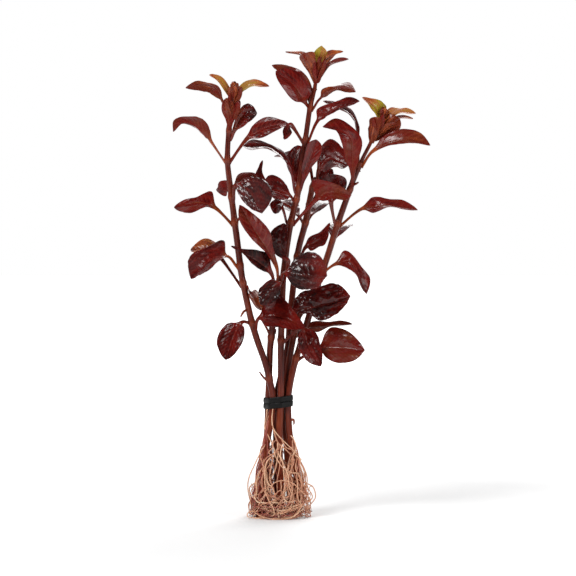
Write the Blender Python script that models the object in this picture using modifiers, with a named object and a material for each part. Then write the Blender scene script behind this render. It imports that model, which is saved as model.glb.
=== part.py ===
"""A bunch of Ludwigia repens: six rooted cuttings in a rubber band, with leaves and a root tuft.

The bunch stands on the cut ends of its stems and on its roots. Points below are (x, y, z) in
millimetres, with x to the right, y to the back, z up and the floor at z = 0.
"""
import math

import bmesh
import bpy
from mathutils import Vector

MM = 0.001

# Sizes in millimetres
TOUCH_GAP = 0.35
STEM_SIDES_STEP = 1
NODE_SWELLING = 1.2
NODE_HALF_LENGTH = 2.2
CLOSEST_RINGS = 1.0
FARTHEST_RINGS = 20.0
FOOT_STRAIGHT = 0.4
STUB_RADII = (0.7, 0.6, 0.6)
PETIOLE_WIDTH = 1.3
PETIOLE_DEPTH_SHARE = 0.85
BLADE_THICKNESS = 0.55
BLADE_TIP_HALF_WIDTH = 0.35
BAND_HEIGHT = 57.6
BAND_HALF_HEIGHT = 1.3
BAND_HALF_THICKNESS = 0.42
BAND_TURN_RISE = 1.42
BAND_TILT = 0.11
BAND_STEPS_A_TURN = 18
BAND_CORNER_ROOM = 0.2
BAND_ZONE = 3.2
BAND_SECTION_SIDES = 6
BAND_CROSSING_SHARE = 0.14
BAND_CROSSING_GAP = 0.4
HULL_STEPS = 96
BUNCH_AXIS = Vector((-10.0, 0.0))
ROOT_STRANDS = 15
ROOT_STRAND_RADIUS = 0.75
ROOT_STRAND_HEIGHTS = (52.5, 43, 32, 20, 8)
ROOT_STRAND_FOOT = ROOT_STRAND_RADIUS + 0.05
ROOT_COIL_STEPS = 18
ROOT_COIL_WAVES = 5
ROOT_COIL_WAVE_HEIGHT = 0.3
TIP_END_TAPER = 0.7

# A strand's slow waves, sideways in radians and outward in millimetres: height, length and start
STRAND_SWAY = (0.16, 8.0, 2.4)
STRAND_BULGE = (0.7, 6.0, 1.7)
# How a strand's end turns along the floor, in radians, and how far out it lies
STRAND_TURNS = (0.16, 0.288)
STRAND_END_OUT = 2.0

# Points a smooth line has between two given ones, and how far off a point its direction is read
PATH_STEPS = 12
DIRECTION_REACH = 0.4

# Points of a joined solid, and of a tube's caps, closer than this, in metres, are one point
SEAM_WELD = 0.000005
CAP_WELD = 0.000001

# A stem's radius between its nodes at a few heights
STEM_RADII = [(0.0, 1.7), (90.0, 1.6), (150.0, 1.58), (185.0, 1.3), (230.0, 1.15)]
YOUNG_STEM_RADIUS = 1.15

# Where each leaf is cut across: parts of the petiole's length, then of the blade's
PETIOLE_STATIONS = (0.0,)
BLADE_STATIONS = (0.0, 0.13, 0.31, 0.52, 0.73, 0.9, 1.0)
YOUNG_STATIONS = (0.0, 0.3, 0.62, 1.0)

# Where, as a share of the midrib's length, a margin's three points stand between base and tip,
# and a plain blade's width there
MARGIN_SHARES = (0.0, 0.2, 0.5, 0.82, 1.0)
PLAIN_BLADE = (0.62, 1.0, 0.66)

# Each stem from its cut foot to its tip, its nodes' heights, and its broken petiole stubs
STEMS = {
    "left": {
        "line": [(-20.5, -6, 0), (-19, -4.5, 18.5), (-17.2, -3.6, 33.5), (-14.6, -2.8, 48.5),
                 (-13.6, -2.6, 59.5), (-15.2, -2.9, 68.5), (-17.5, -3.2, 77.5), (-21, -3.6, 87.5),
                 (-24, -4.5, 97.5), (-26.5, -5, 108.5), (-29, -5.6, 121), (-31, -6, 136),
                 (-32.5, -6.5, 147.5), (-34.5, -7, 163.5), (-36, -7.5, 178.5), (-35, -7.8, 196),
                 (-34, -8, 203)],
        "nodes": (69.5, 97, 117, 126, 147.5, 160, 178.5, 193),
        "stubs": [[(-16.8, -3, 70), (-18.5, -3.6, 71.5), (-20.4, -4, 74)],
                  [(-26, -5.2, 104), (-28, -7.5, 103), (-29.5, -8.4, 100.5)],
                  [(-31.9, -6.6, 147), (-30.2, -7.6, 149.5), (-29.6, -8, 152)]],
    },
    "middle": {
        "line": [(-9, -7, 0), (-10, -5, 23.5), (-10.3, -3.9, 43.5), (-9.6, -3.3, 59.5),
                 (-9.5, -3.2, 73.5), (-9.5, -3.5, 88.5), (-9, -4, 103.5), (-8.5, -3.6, 118.5),
                 (-7.5, -3.2, 127.5), (-6.5, -2.8, 136), (-4.5, -2.2, 147.5), (-2.5, -2, 156),
                 (-0.5, -2, 165), (1.5, -2, 181), (3, -2, 191), (5, -1.8, 204.5), (7.2, -1.4, 214)],
        "nodes": (88.5, 147.5, 158.5, 164.5, 188.5, 204.5),
        "stubs": [],
    },
    "right": {
        "line": [(-0.5, -3, 0), (-2, -2.6, 23.5), (-4.8, -2.2, 38.5), (-5.7, -1.9, 48.5),
                 (-5.9, -1.7, 59.5), (-5, -1.2, 66), (-3.5, -0.6, 73.5), (-1, -0.2, 82.5),
                 (2.5, 0.2, 93.5), (9, 0.8, 116), (14, 1.6, 131), (19, 2, 147),
                 (24.5, 1.6, 162.5), (27, 1.2, 169.5), (30.5, 0.8, 177.5)],
        "nodes": (79.5, 124, 146.5, 163.5, 177),
        "stubs": [[(26.5, 1.2, 166), (28, 0.4, 166.6), (29.2, 0, 167.4)]],
    },
    "back": {
        "line": [(-11.5, 10, 0), (-11.6, 5.5, 25), (-12, 2.8, 46), (-11.8, 2, 59.5),
                 (-9.3, 4.4, 71), (-6.2, 6.8, 83.5), (-5, 7.4, 98.5), (-3.5, 7.8, 113.5),
                 (-1.5, 8, 129.5), (0, 8, 137), (2.5, 8, 146), (4.5, 8, 156), (6, 8, 163.5),
                 (8, 8, 170)],
        "nodes": (130, 147, 165),
        "stubs": [],
    },
    "front": {
        "line": [(-17.5, 7, 0), (-17, 3.6, 30), (-16.2, 1.7, 48), (-15.9, 1.0, 59.5),
                 (-15.4, 1.1, 71), (-15, 0, 83.5), (-14, -2, 93.5), (-13, -5, 106),
                 (-11, -7.5, 116), (-9.6, -8.8, 121)],
        "nodes": (90, 120),
        "stubs": [[(-14.6, -1, 90), (-16.4, -1.6, 94), (-17.8, -1.6, 96.2)],
                  [(-14, -1, 90), (-12.6, -1.2, 92), (-12.1, -1.4, 94)]],
    },
    "low": {
        "line": [(-4.5, 7.5, 0), (-6.2, 4.4, 28), (-7.5, 2.4, 48), (-7.9, 1.9, 59.5),
                 (-6, 2.8, 73.5), (-4, 3, 86), (-1.5, 3, 97.5), (0.5, 3, 104)],
        "nodes": (92, 102.5),
        "stubs": [],
    },
}

# Each grown leaf: its stem, the height of its node, the midrib from the blade's base to its tip,
# its two margins, or for a plain blade its width, the way its upper side faces at the base and,
# if it twists, at the tip. A margin is three (x, z) points beside the midrib at MARGIN_SHARES of
# its length, the upper or left margin first; their depth follows from the way the blade faces.
LEAVES = {
    "left_1_left": ("left", 201, [(-38.5, -7.5, 207.5), (-44, -7, 213), (-56.7, -8, 214.2)],
                    ([(-40, 213), (-46.5, 216), (-53, 216)], [(-40, 208.5), (-45, 212.5), (-52.5, 214)]),
                    (0.1, 0.4, 1), None),
    "left_2_front": ("left", 194, [(-34.7, -10.8, 195), (-35.8, -12.8, 201.5), (-36.3, -12.6, 208.8)],
                     ([(-36.5, 198), (-38.6, 202.5), (-38, 207)], [(-32.8, 197.5), (-32, 202.5), (-33.8, 207.3)]),
                     (0, 1, 0.15), None),
    "left_2_right": ("left", 190, [(-32.3, -8.6, 193.5), (-28.5, -9.4, 200), (-21.3, -9.2, 201.5)],
                     ([(-31.5, 199.5), (-28, 205.3), (-23.5, 204.8)],
                      [(-30, 193.8), (-26.5, 196), (-23, 199)]),
                     (0.2, -0.9, 0.3), None),
    "left_3_left": ("left", 178.5, [(-44, -7, 187.3), (-47.5, -6.5, 192.5), (-52, -6, 196.8),
                                    (-58, -6.8, 197.8), (-63, -8, 192.4)],
                    ([(-45.8, 194.3), (-51.5, 199.2), (-62.3, 197.4)],
                     [(-47, 189.6), (-52.5, 193.8), (-59.8, 196)]),
                    (0.5, 0.6, 0.7), (0.1, 0.3, 0.9)),
    "left_3_right": ("left", 178.5, [(-25.7, -9.5, 189.4), (-16, -12, 195), (-6, -14, 196.2)],
                     ([(-23.5, 194.5), (-17, 199.2), (-9.5, 197.8)],
                      [(-20.5, 189), (-14.5, 191), (-8.8, 194.4)]),
                     (0, -0.9, 0.4), None),
    "left_4_back": ("left", 160.5, [(-35.2, -3.2, 163.5), (-38.5, 1.5, 164), (-41.8, 8, 164.3)],
                    ([(-36, 167.3), (-39, 167.2), (-41.2, 166.3)],
                     [(-35.8, 160.2), (-38.8, 160.8), (-41.3, 162.5)]),
                    (0, -0.75, 0.65), None),
    "left_4_arch": ("left", 161.5, [(-31.8, -3, 166), (-27, 1, 169.8), (-20, 5, 167.5)],
                    ([(-31, 170.5), (-26, 172.3), (-21.5, 170.3)],
                     [(-29.5, 166), (-25, 167), (-20.5, 166.5)]),
                    (0.1, -0.6, 0.8), None),
    "left_4_front": ("left", 159, [(-31.8, -10.5, 166), (-24, -18, 162.5), (-18.7, -27, 152)],
                     ([(-27.5, 168.5), (-18, 168), (-14.3, 158.5)],
                      [(-31, 162.8), (-28, 157), (-22.8, 153.2)]),
                     (0.25, -0.75, 0.6), None),
    "left_5_left": ("left", 147.5, [(-42.3, -8, 154.8), (-50.5, -8.5, 157.8), (-62.5, -9, 154.8)],
                    ([(-43.8, 162), (-51.5, 159.2), (-59, 157.6)], [(-46, 154.8), (-54, 152), (-60, 152.8)]),
                    (-0.1, -0.75, 0.65), None),
    "left_6_left": ("left", 126, [(-36.3, -8, 130.8), (-45, -11, 130), (-54, -15, 119.6)],
                    ([(-37.5, 137.5), (-46.5, 134), (-55.5, 127.8)],
                     [(-39.5, 128), (-45.5, 123.2), (-50.5, 120.3)]),
                    (-0.2, -0.6, 0.8), None),
    "left_7_left": ("left", 117, [(-39.5, 0, 129.5), (-45.5, 4, 135), (-55, 6, 133.6)],
                    ([(-41.5, 135.5), (-47, 138), (-52.5, 136)], [(-42.5, 129.5), (-49, 131), (-53.8, 132)]),
                    (0, -0.5, 0.85), None),
    "left_7_right": ("left", 116, [(-25.3, -7.5, 113.5), (-22.3, -11.5, 110), (-19, -13.5, 104)],
                     ([(-25.2, 112), (-24, 108.5), (-21.3, 105)],
                      [(-23.3, 113.5), (-20.3, 110.8), (-18.5, 107)]),
                     (0.75, -0.25, 0.6), None),
    "left_8_left": ("left", 97.5, [(-29.5, -7, 97.3), (-33.8, -9.5, 90), (-37, -10.5, 79.2)],
                    ([(-35.5, 97.2), (-40.7, 90), (-39.6, 82.5)], [(-27.7, 95), (-28.6, 88), (-33.3, 81.2)]),
                    (-0.3, -0.9, 0.3), None),
    "left_9_right": ("left", 94, [(-20.3, -10, 100), (-10.5, -15, 102.3), (2.3, -18, 95.7)],
                     ([(-17.3, 107.5), (-11, 111.3), (-2, 101.5)],
                      [(-17.5, 96.6), (-11, 95.3), (-2.5, 94.7)]),
                     (0, -0.8, 0.6), None),
    "middle_2_left": ("middle", 205, [(2.6, -4.8, 207), (-2.5, -7.5, 215.5), (-12, -8.5, 222.3)],
                      ([(5.8, 212), (1, 219.5), (-6.5, 223.5)], [(-2.5, 207.3), (-8, 213), (-11.7, 219)]),
                      (0.3, -0.95, 0.2), None),
    "middle_2_back": ("middle", 206, [(4.6, 1.5, 209), (1, 4, 218.5), (-14, 5, 226)],
                      ([(5.8, 214.5), (1.5, 221.8), (-8.5, 226.2)], [(1, 210), (-4.5, 217.5), (-11.5, 223)]),
                      (-0.3, -0.85, 0.4), (-0.5, -0.4, 0.9)),
    "middle_2_right": ("middle", 204.5, [(10, -2.5, 209), (17.5, -4.5, 214), (27.6, -6, 212.3)],
                       ([(11, 213), (18.5, 215.3), (25, 216.3)], [(12.8, 210.3), (18, 213), (24.8, 213)]),
                       (0.1, -0.4, 0.95), None),
    "middle_3_left": ("middle", 188, [(-4.5, -6.5, 195.7), (-6.5, -9, 193.5), (-7.8, -11, 188.4)],
                      ([(-6.8, 196), (-8.2, 193), (-8.2, 190)], [(-5, 194.3), (-4.2, 191.8), (-6, 189)]),
                      (-0.4, -0.8, 0.4), None),
    "middle_3_right": ("middle", 188.5, [(8.5, -3.8, 197.5), (15, -6.5, 203.5), (29.3, -9, 207.5)],
                       ([(8.8, 203), (16.5, 206.4), (25.5, 209.2)],
                        [(12, 198.8), (19, 202.6), (25.5, 205.3)]),
                       (-0.15, -0.6, 0.8), None),
    "middle_4_left": ("middle", 163.5, [(-5.5, -4.2, 176.3), (-15, -4.5, 185), (-28.2, -5, 185.3)],
                      ([(-8, 182), (-15.5, 186), (-24.5, 187.9)], [(-8.5, 178.8), (-16, 183.8), (-25, 183)]),
                      (0, -0.5, 0.85), None),
    "middle_4_upright": ("middle", 165.5, [(2, -5.4, 169.5), (5, -7, 178), (8, -7, 188.5)],
                         ([(0.8, 173), (2.2, 180), (4.3, 186.8)], [(5.5, 174.5), (9.3, 179.5), (10.3, 186)]),
                         (0.25, -0.95, -0.1), None),
    "middle_4_back": ("middle", 166, [(-2.3, 1.2, 169), (-3.2, 4.5, 177), (-1, 8, 186)],
                      ([(-4.5, 171), (-6.8, 177.5), (-4.5, 183.5)], [(0, 171), (2, 178), (2.5, 185)]),
                      (0.1, -0.9, 0.4), None),
    "middle_5_left": ("middle", 158.5, [(-4.8, -4.6, 160.5), (-10.5, -8, 164.3), (-18.5, -10.5, 165.5)],
                      ([(-6.5, 165), (-11.5, 169.3), (-16.5, 169.6)],
                       [(-7, 158.2), (-11.5, 158.8), (-16.5, 161)]),
                      (0.15, -0.7, 0.7), None),
    "middle_5_curled": ("middle", 155, [(-9, -5.5, 157.3), (-12, -7.5, 156.5), (-12.3, -8.5, 151.6)],
                        ([(-11.5, 158.5), (-14, 156.5), (-13.6, 153)],
                         [(-9, 155.5), (-9, 154), (-10.5, 152)]),
                        (-0.5, -0.6, 0.6), None),
    "middle_6_left": ("middle", 147.5, [(-9.5, -1, 156), (-18, 1, 167), (-18.7, 2, 178.3)],
                      ([(-14, 163), (-21.8, 169.5), (-20.7, 175)], [(-11, 161.5), (-16, 166), (-19, 173.5)]),
                      (0.6, -0.7, 0.4), None),
    "middle_6_right": ("middle", 147.5, [(8.3, -8, 159), (14.5, -10.5, 162.8), (25.3, -12, 160.8)],
                       ([(6.5, 167), (13.5, 167.3), (22.5, 163.3)],
                        [(12, 158.1), (16.5, 158.6), (23, 158.5)]),
                       (0, -0.95, 0.3), None),
    "middle_8_right": ("middle", 88.5, [(1, -9.5, 95), (4.6, -14, 86.5), (10.2, -15.5, 76.3)],
                       ([(-0.8, 91.5), (-0.8, 85), (4.5, 78.3)], [(7, 93), (9.9, 86.5), (10.8, 79.5)]),
                       (0.25, -0.9, 0.35), None),
    "back_1_right": ("back", 168, [(9.5, 4.8, 173.5), (14.5, 2.5, 180.5), (24.3, -1.5, 175.8)],
                     ([(9.3, 181), (15.5, 188.3), (22.8, 181)], [(12, 172.5), (17, 174), (21.5, 174)]),
                     (0.1, -0.7, 0.7), None),
    "back_1_left": ("back", 168.5, [(4.5, 12.5, 176), (-2, 19, 182), (-13, 26, 181)],
                    11, (0, -0.3, 1), None),
    "back_2_right": ("back", 158, [(9.5, 12, 163), (13, 13, 170), (16.5, 12.5, 174)],
                     9, (0.3, -0.85, 0.4), None),
    "back_3_right": ("back", 147, [(5.5, 14, 151), (9, 22, 156.5), (13, 33, 157)],
                     12, (0, -0.3, 1), None),
    "back_3_left": ("back", 147, [(-1, 14, 151), (-7, 22, 156.5), (-16, 32, 156)],
                    12, (0, -0.3, 1), None),
    "back_5_right": ("back", 130.5, [(3, 5.5, 135), (9, 6, 138.5), (14.5, 7.5, 142)],
                     ([(4.5, 139), (10, 142.2), (15.5, 146)], [(5, 133.2), (9.5, 134.7), (13, 137)]),
                     (-0.3, -0.8, 0.5), None),
    "right_2_left": ("right", 167, [(26.2, -3, 172), (26, -5, 183), (24.5, -6.5, 191), (11.2, -8, 194.8)],
                     ([(22.8, 178.5), (20.6, 187), (16.5, 193.7)], [(29, 179), (30, 189.5), (17.5, 198.8)]),
                     (0.1, -0.95, 0.3), None),
    "right_2_right": ("right", 176.5, [(37, -5, 183.4), (50, -9.5, 188.3), (64.3, -11, 185.6)],
                      ([(41, 189.3), (50.5, 193.5), (60.5, 190.5)], [(42.5, 185.2), (51, 186), (60, 186.3)]),
                      (0, -0.8, 0.6), None),
    "right_3_left": ("right", 175.5, [(29, 4.5, 191), (26, 6, 201.5), (11.7, 7, 208.2)],
                     ([(29.5, 196), (25.3, 203.7), (16, 208)], [(28.2, 195.5), (23, 203), (15.5, 205.5)]),
                     (0.5, -0.4, 0.7), None),
    "right_4_left": ("right", 147.5, [(15.5, -0.5, 157.5), (16.5, -1.5, 165), (14, -3, 171.5)],
                     ([(12, 160.5), (10, 166), (10, 170)], [(20, 160.5), (23, 165.5), (20.5, 170.5)]),
                     (0, -0.85, 0.5), None),
    "right_4_right": ("right", 146.5, [(31, 0, 154.2), (42.5, -2, 156.5), (58.5, -4, 153.6)],
                      ([(36, 159), (45, 158.9), (53.5, 157)], [(36, 152.2), (44.5, 154.6), (53, 153.6)]),
                      (0, -0.65, 0.75), None),
    "right_5_back": ("right", 134, [(17, 8.5, 139), (20, 18, 145.5), (24, 31, 145)],
                     12, (0, -0.3, 1), None),
    "right_6_right": ("right", 124, [(18, -1.5, 126.7), (25, -3.5, 128.6), (29.6, -4.5, 121.5),
                                     (33.2, -5, 111.8)],
                      ([(22.5, 132.8), (31.2, 124.4), (34.6, 117.4)],
                       [(22, 125.2), (27.2, 121.8), (30.6, 114.8)]),
                      (0, -0.75, 0.65), (0.7, -0.6, 0.3)),
    "right_8_right": ("right", 79.5, [(9.5, -4, 84.3), (20, -9, 86), (32, -13, 84.2)],
                      ([(13.5, 92.7), (20.5, 94.2), (28.5, 89)], [(13.3, 80), (20.5, 77.3), (28.5, 80)]),
                      (0.05, -0.9, 0.4), None),
    "front_1_up": ("front", 119, [(-12, -13, 126.5), (-19, -18.5, 139.5), (-29.7, -21, 156)],
                   ([(-16.5, 132), (-24.3, 140), (-30.3, 150)], [(-13.3, 134), (-15.6, 143), (-24.5, 152.5)]),
                   (0.4, -0.85, 0.3), None),
    "front_1_left": ("front", 116.4, [(-14.8, -11.4, 123), (-21.5, -15.6, 129), (-34, -18, 135.8)],
                     ([(-15.3, 130.3), (-20.5, 133.4), (-29.5, 134.5)],
                      [(-18.5, 123.6), (-23.5, 127), (-29, 132.6)]),
                     (-0.2, -0.85, 0.5), None),
    "front_1_right": ("front", 118.5, [(-7.6, -13.2, 122.6), (2.8, -20.5, 123), (13, -28, 121.5)],
                      ([(-3.3, 127.6), (4.2, 132.2), (11.5, 127.8)], [(-4.2, 117.2), (2.5, 113.6), (9.5, 116)]),
                      (0.1, -0.75, 0.65), None),
    "front_1_down": ("front", 113.5, [(-10.3, -13.4, 118), (-15, -18, 114.3), (-19.3, -22, 107)],
                     ([(-13.6, 119), (-19.3, 114.6), (-20.3, 110)], [(-9.6, 114.3), (-12, 109.7), (-16, 106.8)]),
                     (-0.25, -0.7, 0.6), None),
    "front_2_up": ("front", 118.4, [(-5.9, -7.4, 128), (-10, -9.8, 137), (-8, -8.5, 147)],
                   ([(-12.3, 132), (-14.5, 138), (-13, 144)], [(-7, 131), (-6.5, 138), (-6.3, 145)]),
                   (-0.3, -0.9, 0.2), None),
    "low_1_front": ("low", 101.5, [(-4.5, -4.5, 103), (8.5, -8.5, 106.5), (24.8, -13, 111)],
                    ([(-1.5, 110), (8, 114.2), (19.8, 116)], [(3.5, 102), (11.3, 98.4), (21.6, 105)]),
                    (-0.1, -0.85, 0.5), None),
    "low_1_back": ("low", 101.5, [(4.5, 8, 103), (12, 18, 108), (20, 30, 108)],
                   12, (0, -0.3, 1), None),
    "low_2_right": ("low", 91.5, [(2.5, 4.5, 94.8), (14, 1.5, 96.3), (26, -3, 96.7)],
                    ([(7, 97), (14.5, 97.5), (22.5, 97.6)], [(7.5, 92.5), (14.5, 94.8), (21.5, 96)]),
                    (0, -0.6, 0.8), None),
}

# Each shoot tip's line and its young leaves: midrib, margins or width, and the upper side's way
SHOOT_TIPS = {
    "left": {
        "line": [(-33.7, -8, 203.6), (-33.2, -8, 208), (-32.5, -8, 213.5)],
        "leaves": [
            ([(-33.8, -8.2, 209), (-38.5, -8.5, 216.5), (-44.8, -9, 220.5)],
             ([(-34.5, 213), (-37.8, 218), (-42, 220.6)], [(-36.5, 211), (-40, 216.5), (-43.3, 219)]),
             (0.3, -0.7, 0.6)),
            ([(-32, -8.4, 209.5), (-25, -9.3, 216), (-15.3, -10, 214.8)],
             ([(-29.5, 215), (-24, 218.2), (-18, 216.4)], [(-29, 211.8), (-24, 213.9), (-18.3, 214.4)]),
             (-0.1, -0.6, 0.8)),
            ([(-33, -9, 205.5), (-32.3, -11, 210), (-31.8, -11.8, 214.8)],
             ([(-35, 208), (-35.7, 211.5), (-34.5, 214.3)], [(-30.5, 208), (-28.8, 211.5), (-29.3, 214.3)]),
             (0, 1, 0.3)),
            ([(-32.8, -7.4, 206), (-31.8, -3, 212), (-30.5, 3, 215)], 6, (0, -0.6, 0.8)),
        ],
    },
    "tall": {
        "line": [(7.4, -1.4, 214.6), (8.3, -1.2, 221), (9.3, -1, 229)],
        "leaves": [
            ([(7.7, -1.9, 217), (4.5, -4, 225), (1, -5, 231)],
             ([(7.5, 222.5), (7.5, 228), (5.5, 231.7)], [(4.5, 221.8), (1, 226), (-0.3, 229.5)]),
             (0.4, 0.8, 0.3)),
            ([(8.6, -1.6, 217.8), (14.5, -3, 226), (24, -3.8, 228.6)],
             ([(10.5, 222.5), (14.5, 227.2), (21, 229.1)], [(11, 220.5), (15, 225), (20.5, 227.4)]),
             (-0.3, -0.5, 0.8)),
            ([(8.9, -1, 225.2), (2, 0, 231), (-7.2, 1, 232.5)], 5, (0, -0.25, 1)),
            ([(8.6, -0.7, 223.6), (14.5, 0.4, 230.6), (21.5, 1.5, 232.6)],
             ([(10.5, 229), (14, 232.7), (18, 232.9)], [(12, 225.5), (16, 228.5), (18.5, 231.5)]),
             (0, -0.7, 0.7)),
            ([(9, -1.3, 226), (10.4, -4.2, 231), (10.6, -4.6, 235)],
             ([(7.4, 229.5), (7, 231.6), (8.8, 233.8)], [(12, 229.3), (13.3, 231.6), (12, 233.8)]),
             (0.1, -0.95, 0.3)),
            ([(8.5, -0.7, 221.5), (12, 5, 227.5), (15.5, 10, 229)], 7, (0, -0.4, 0.9)),
        ],
    },
    "right": {
        "line": [(30.9, 0.8, 178.3), (35, 0, 186.5), (39, -0.4, 195), (41.5, -0.6, 201)],
        "leaves": [
            ([(40.2, -1, 197), (37.8, -2.5, 205), (31, -4, 209.5)],
             ([(37.5, 200.8), (35, 204), (32.7, 207)], [(43, 203.5), (40.5, 207), (35, 209.1)]),
             (0.3, -0.6, 0.7)),
            ([(41, -0.9, 197.5), (49, -2, 202.7), (57.5, -3, 201.7)],
             ([(44.5, 203.7), (50, 204.3), (54.8, 203.5)], [(45, 200.3), (50, 201.3), (54.5, 201.3)]),
             (0, -0.5, 0.85)),
            ([(41, -0.2, 196), (49, 1, 199.9), (56.5, 2, 199.3)], 4, (0, -0.4, 0.9)),
            ([(35.6, -0.6, 187), (36.5, -3.5, 193), (37.5, -4, 199.8)],
             ([(34.3, 190.5), (34.3, 195.5), (35, 199)], [(38, 189.5), (39.5, 194.5), (39.5, 199)]),
             (0.4, 0.85, 0.3)),
            ([(37, -0.4, 188.5), (43.5, -2.5, 194), (49.5, -4.5, 199)],
             ([(38.5, 193), (42, 198.5), (46, 201)], [(42.5, 188.5), (48.5, 191.8), (50.2, 196)]),
             (-0.1, -0.8, 0.55)),
            ([(36.5, 0.6, 188.5), (38.5, 7, 195), (41, 14, 197)], 8, (0, -0.4, 0.9)),
        ],
    },
}

# The root skirt's radius about the bunch's axis at a few heights
SKIRT = [(0.0, 14.0), (6.0, 14.6), (15.0, 14.2), (25.0, 12.2), (40.0, 8.4), (54.0, 6.0)]


def principled(name, colour, roughness):
    """A plain material of one colour."""
    made = bpy.data.materials.new(name)
    made.use_nodes = True
    shader = made.node_tree.nodes["Principled BSDF"]
    shader.inputs["Base Color"].default_value = (*colour, 1.0)
    shader.inputs["Roughness"].default_value = roughness
    return made


def between(table, key):
    """The value at key of a table of (key, value) pairs in rising order, by straight lines."""
    if key <= table[0][0]:
        return table[0][1]
    for (low, first), (high, second) in zip(table, table[1:]):
        if key <= high:
            return first + (second - first) * (key - low) / (high - low)
    return table[-1][1]


def smooth_path(points):
    """Closely spaced points on a Catmull-Rom curve through the given ones."""
    ends = [points[0] * 2 - points[1]] + list(points) + [points[-1] * 2 - points[-2]]
    path = []
    for before, start, end, after in zip(ends, ends[1:], ends[2:], ends[3:]):
        for step in range(PATH_STEPS):
            t = step / PATH_STEPS
            path.append(0.5 * (2 * start + (end - before) * t
                               + (2 * before - 5 * start + 4 * end - after) * t ** 2
                               + (3 * start - before - 3 * end + after) * t ** 3))
    path.append(points[-1].copy())
    return path


def lengths_along(path):
    """The distance along a path up to each of its points."""
    travelled = [0.0]
    for first, second in zip(path, path[1:]):
        travelled.append(travelled[-1] + (second - first).length)
    return travelled


def point_at(path, travelled, distance):
    """The point of a path at a distance along it."""
    for index in range(1, len(path)):
        if distance <= travelled[index]:
            share = (distance - travelled[index - 1]) / (travelled[index] - travelled[index - 1])
            return path[index - 1].lerp(path[index], share)
    return path[-1].copy()


def stem_centre(stem, height):
    """The centre of a stem at a height, on a smooth line through its given points."""
    line = STEMS[stem]["line"]
    height = min(max(height, line[0][2]), line[-1][2])
    index = max(i for i in range(len(line) - 1) if line[i][2] <= height)
    low, high = line[index], line[index + 1]
    before = line[max(index - 1, 0)]
    after = line[min(index + 2, len(line) - 1)]
    span = high[2] - low[2]
    t = (height - low[2]) / span
    centre = []
    for axis in (0, 1):
        rise_low = (high[axis] - before[axis]) / (high[2] - before[2]) * span
        rise_high = (after[axis] - low[axis]) / (after[2] - low[2]) * span
        centre.append((2 * t ** 3 - 3 * t ** 2 + 1) * low[axis] + (t ** 3 - 2 * t ** 2 + t) * rise_low
                      + (3 * t ** 2 - 2 * t ** 3) * high[axis] + (t ** 3 - t ** 2) * rise_high)
    return Vector((*centre, height))


def stem_radius(height):
    """A stem's radius between its nodes, which falls from foot to tip."""
    return between(STEM_RADII, height)


def add_object(name, mesh, material, collection):
    """An object for a finished mesh, in one material."""
    mesh.name = name
    mesh.materials.clear()
    mesh.materials.append(material)
    made = bpy.data.objects.new(name, mesh)
    collection.objects.link(made)
    return made


def tube(points, radii, sides_step, collection, closed=False):
    """A closed tube of round section along the points, as a mesh object."""
    curve = bpy.data.curves.new("tube", "CURVE")
    curve.dimensions = "3D"
    curve.bevel_depth = MM
    curve.bevel_resolution = sides_step
    curve.use_fill_caps = True
    spline = curve.splines.new("POLY")
    spline.points.add(len(points) - 1)
    spline.use_cyclic_u = closed
    for target, point, radius in zip(spline.points, points, radii):
        target.co = (*(point * MM), 1.0)
        target.radius = radius
    return curve_to_mesh_object(curve, collection)


def curve_to_mesh_object(curve, collection):
    """A mesh object of a curve's surface with its caps welded, in place of the curve."""
    drawn = bpy.data.objects.new("drawn", curve)
    collection.objects.link(drawn)
    bpy.context.view_layer.update()
    seen = drawn.evaluated_get(bpy.context.evaluated_depsgraph_get())
    mesh = bpy.data.meshes.new_from_object(seen)
    mesh.materials.clear()
    bpy.data.objects.remove(drawn)
    bpy.data.curves.remove(curve)
    cage = bmesh.new()
    cage.from_mesh(mesh)
    bmesh.ops.remove_doubles(cage, verts=cage.verts, dist=CAP_WELD)
    bmesh.ops.recalc_face_normals(cage, faces=cage.faces)
    cage.to_mesh(mesh)
    cage.free()
    made = bpy.data.objects.new("tube", mesh)
    collection.objects.link(made)
    return made


def applied_mesh(thing):
    """A new mesh of an object with its modifiers applied."""
    bpy.context.view_layer.update()
    seen = thing.evaluated_get(bpy.context.evaluated_depsgraph_get())
    return bpy.data.meshes.new_from_object(seen)


def united(name, body, others, material, collection):
    """One solid made of a body and the others that grow out of it."""
    for other in others:
        join = body.modifiers.new("join", "BOOLEAN")
        join.operation = "UNION"
        join.object = other
    mesh = applied_mesh(body)
    for used in [body, *others]:
        bpy.data.objects.remove(used)
    cage = bmesh.new()
    cage.from_mesh(mesh)
    bmesh.ops.remove_doubles(cage, verts=cage.verts, dist=SEAM_WELD)
    bmesh.ops.dissolve_degenerate(cage, edges=cage.edges, dist=SEAM_WELD)
    bmesh.ops.triangulate(cage, faces=cage.faces)
    cage.to_mesh(mesh)
    cage.free()
    return add_object(name, mesh, material, collection)


def ring_heights(stem):
    """The heights of a stem's rings: three at each node, one below and one above the band, and
    others where these are far apart."""
    top = STEMS[stem]["line"][-1][2]
    marks = [node + step * NODE_HALF_LENGTH for node in STEMS[stem]["nodes"] for step in (-1, 0, 1)]
    marks += [BAND_HEIGHT - BAND_ZONE, BAND_HEIGHT + BAND_ZONE]
    heights = [0.0, FOOT_STRAIGHT]
    for mark in sorted(marks) + [top]:
        gap = mark - heights[-1]
        if mark > top or gap < CLOSEST_RINGS:
            continue
        pieces = max(1, round(gap / FARTHEST_RINGS))
        start = heights[-1]
        heights.extend(start + gap * (piece + 1) / pieces for piece in range(pieces))
    return heights


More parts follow.
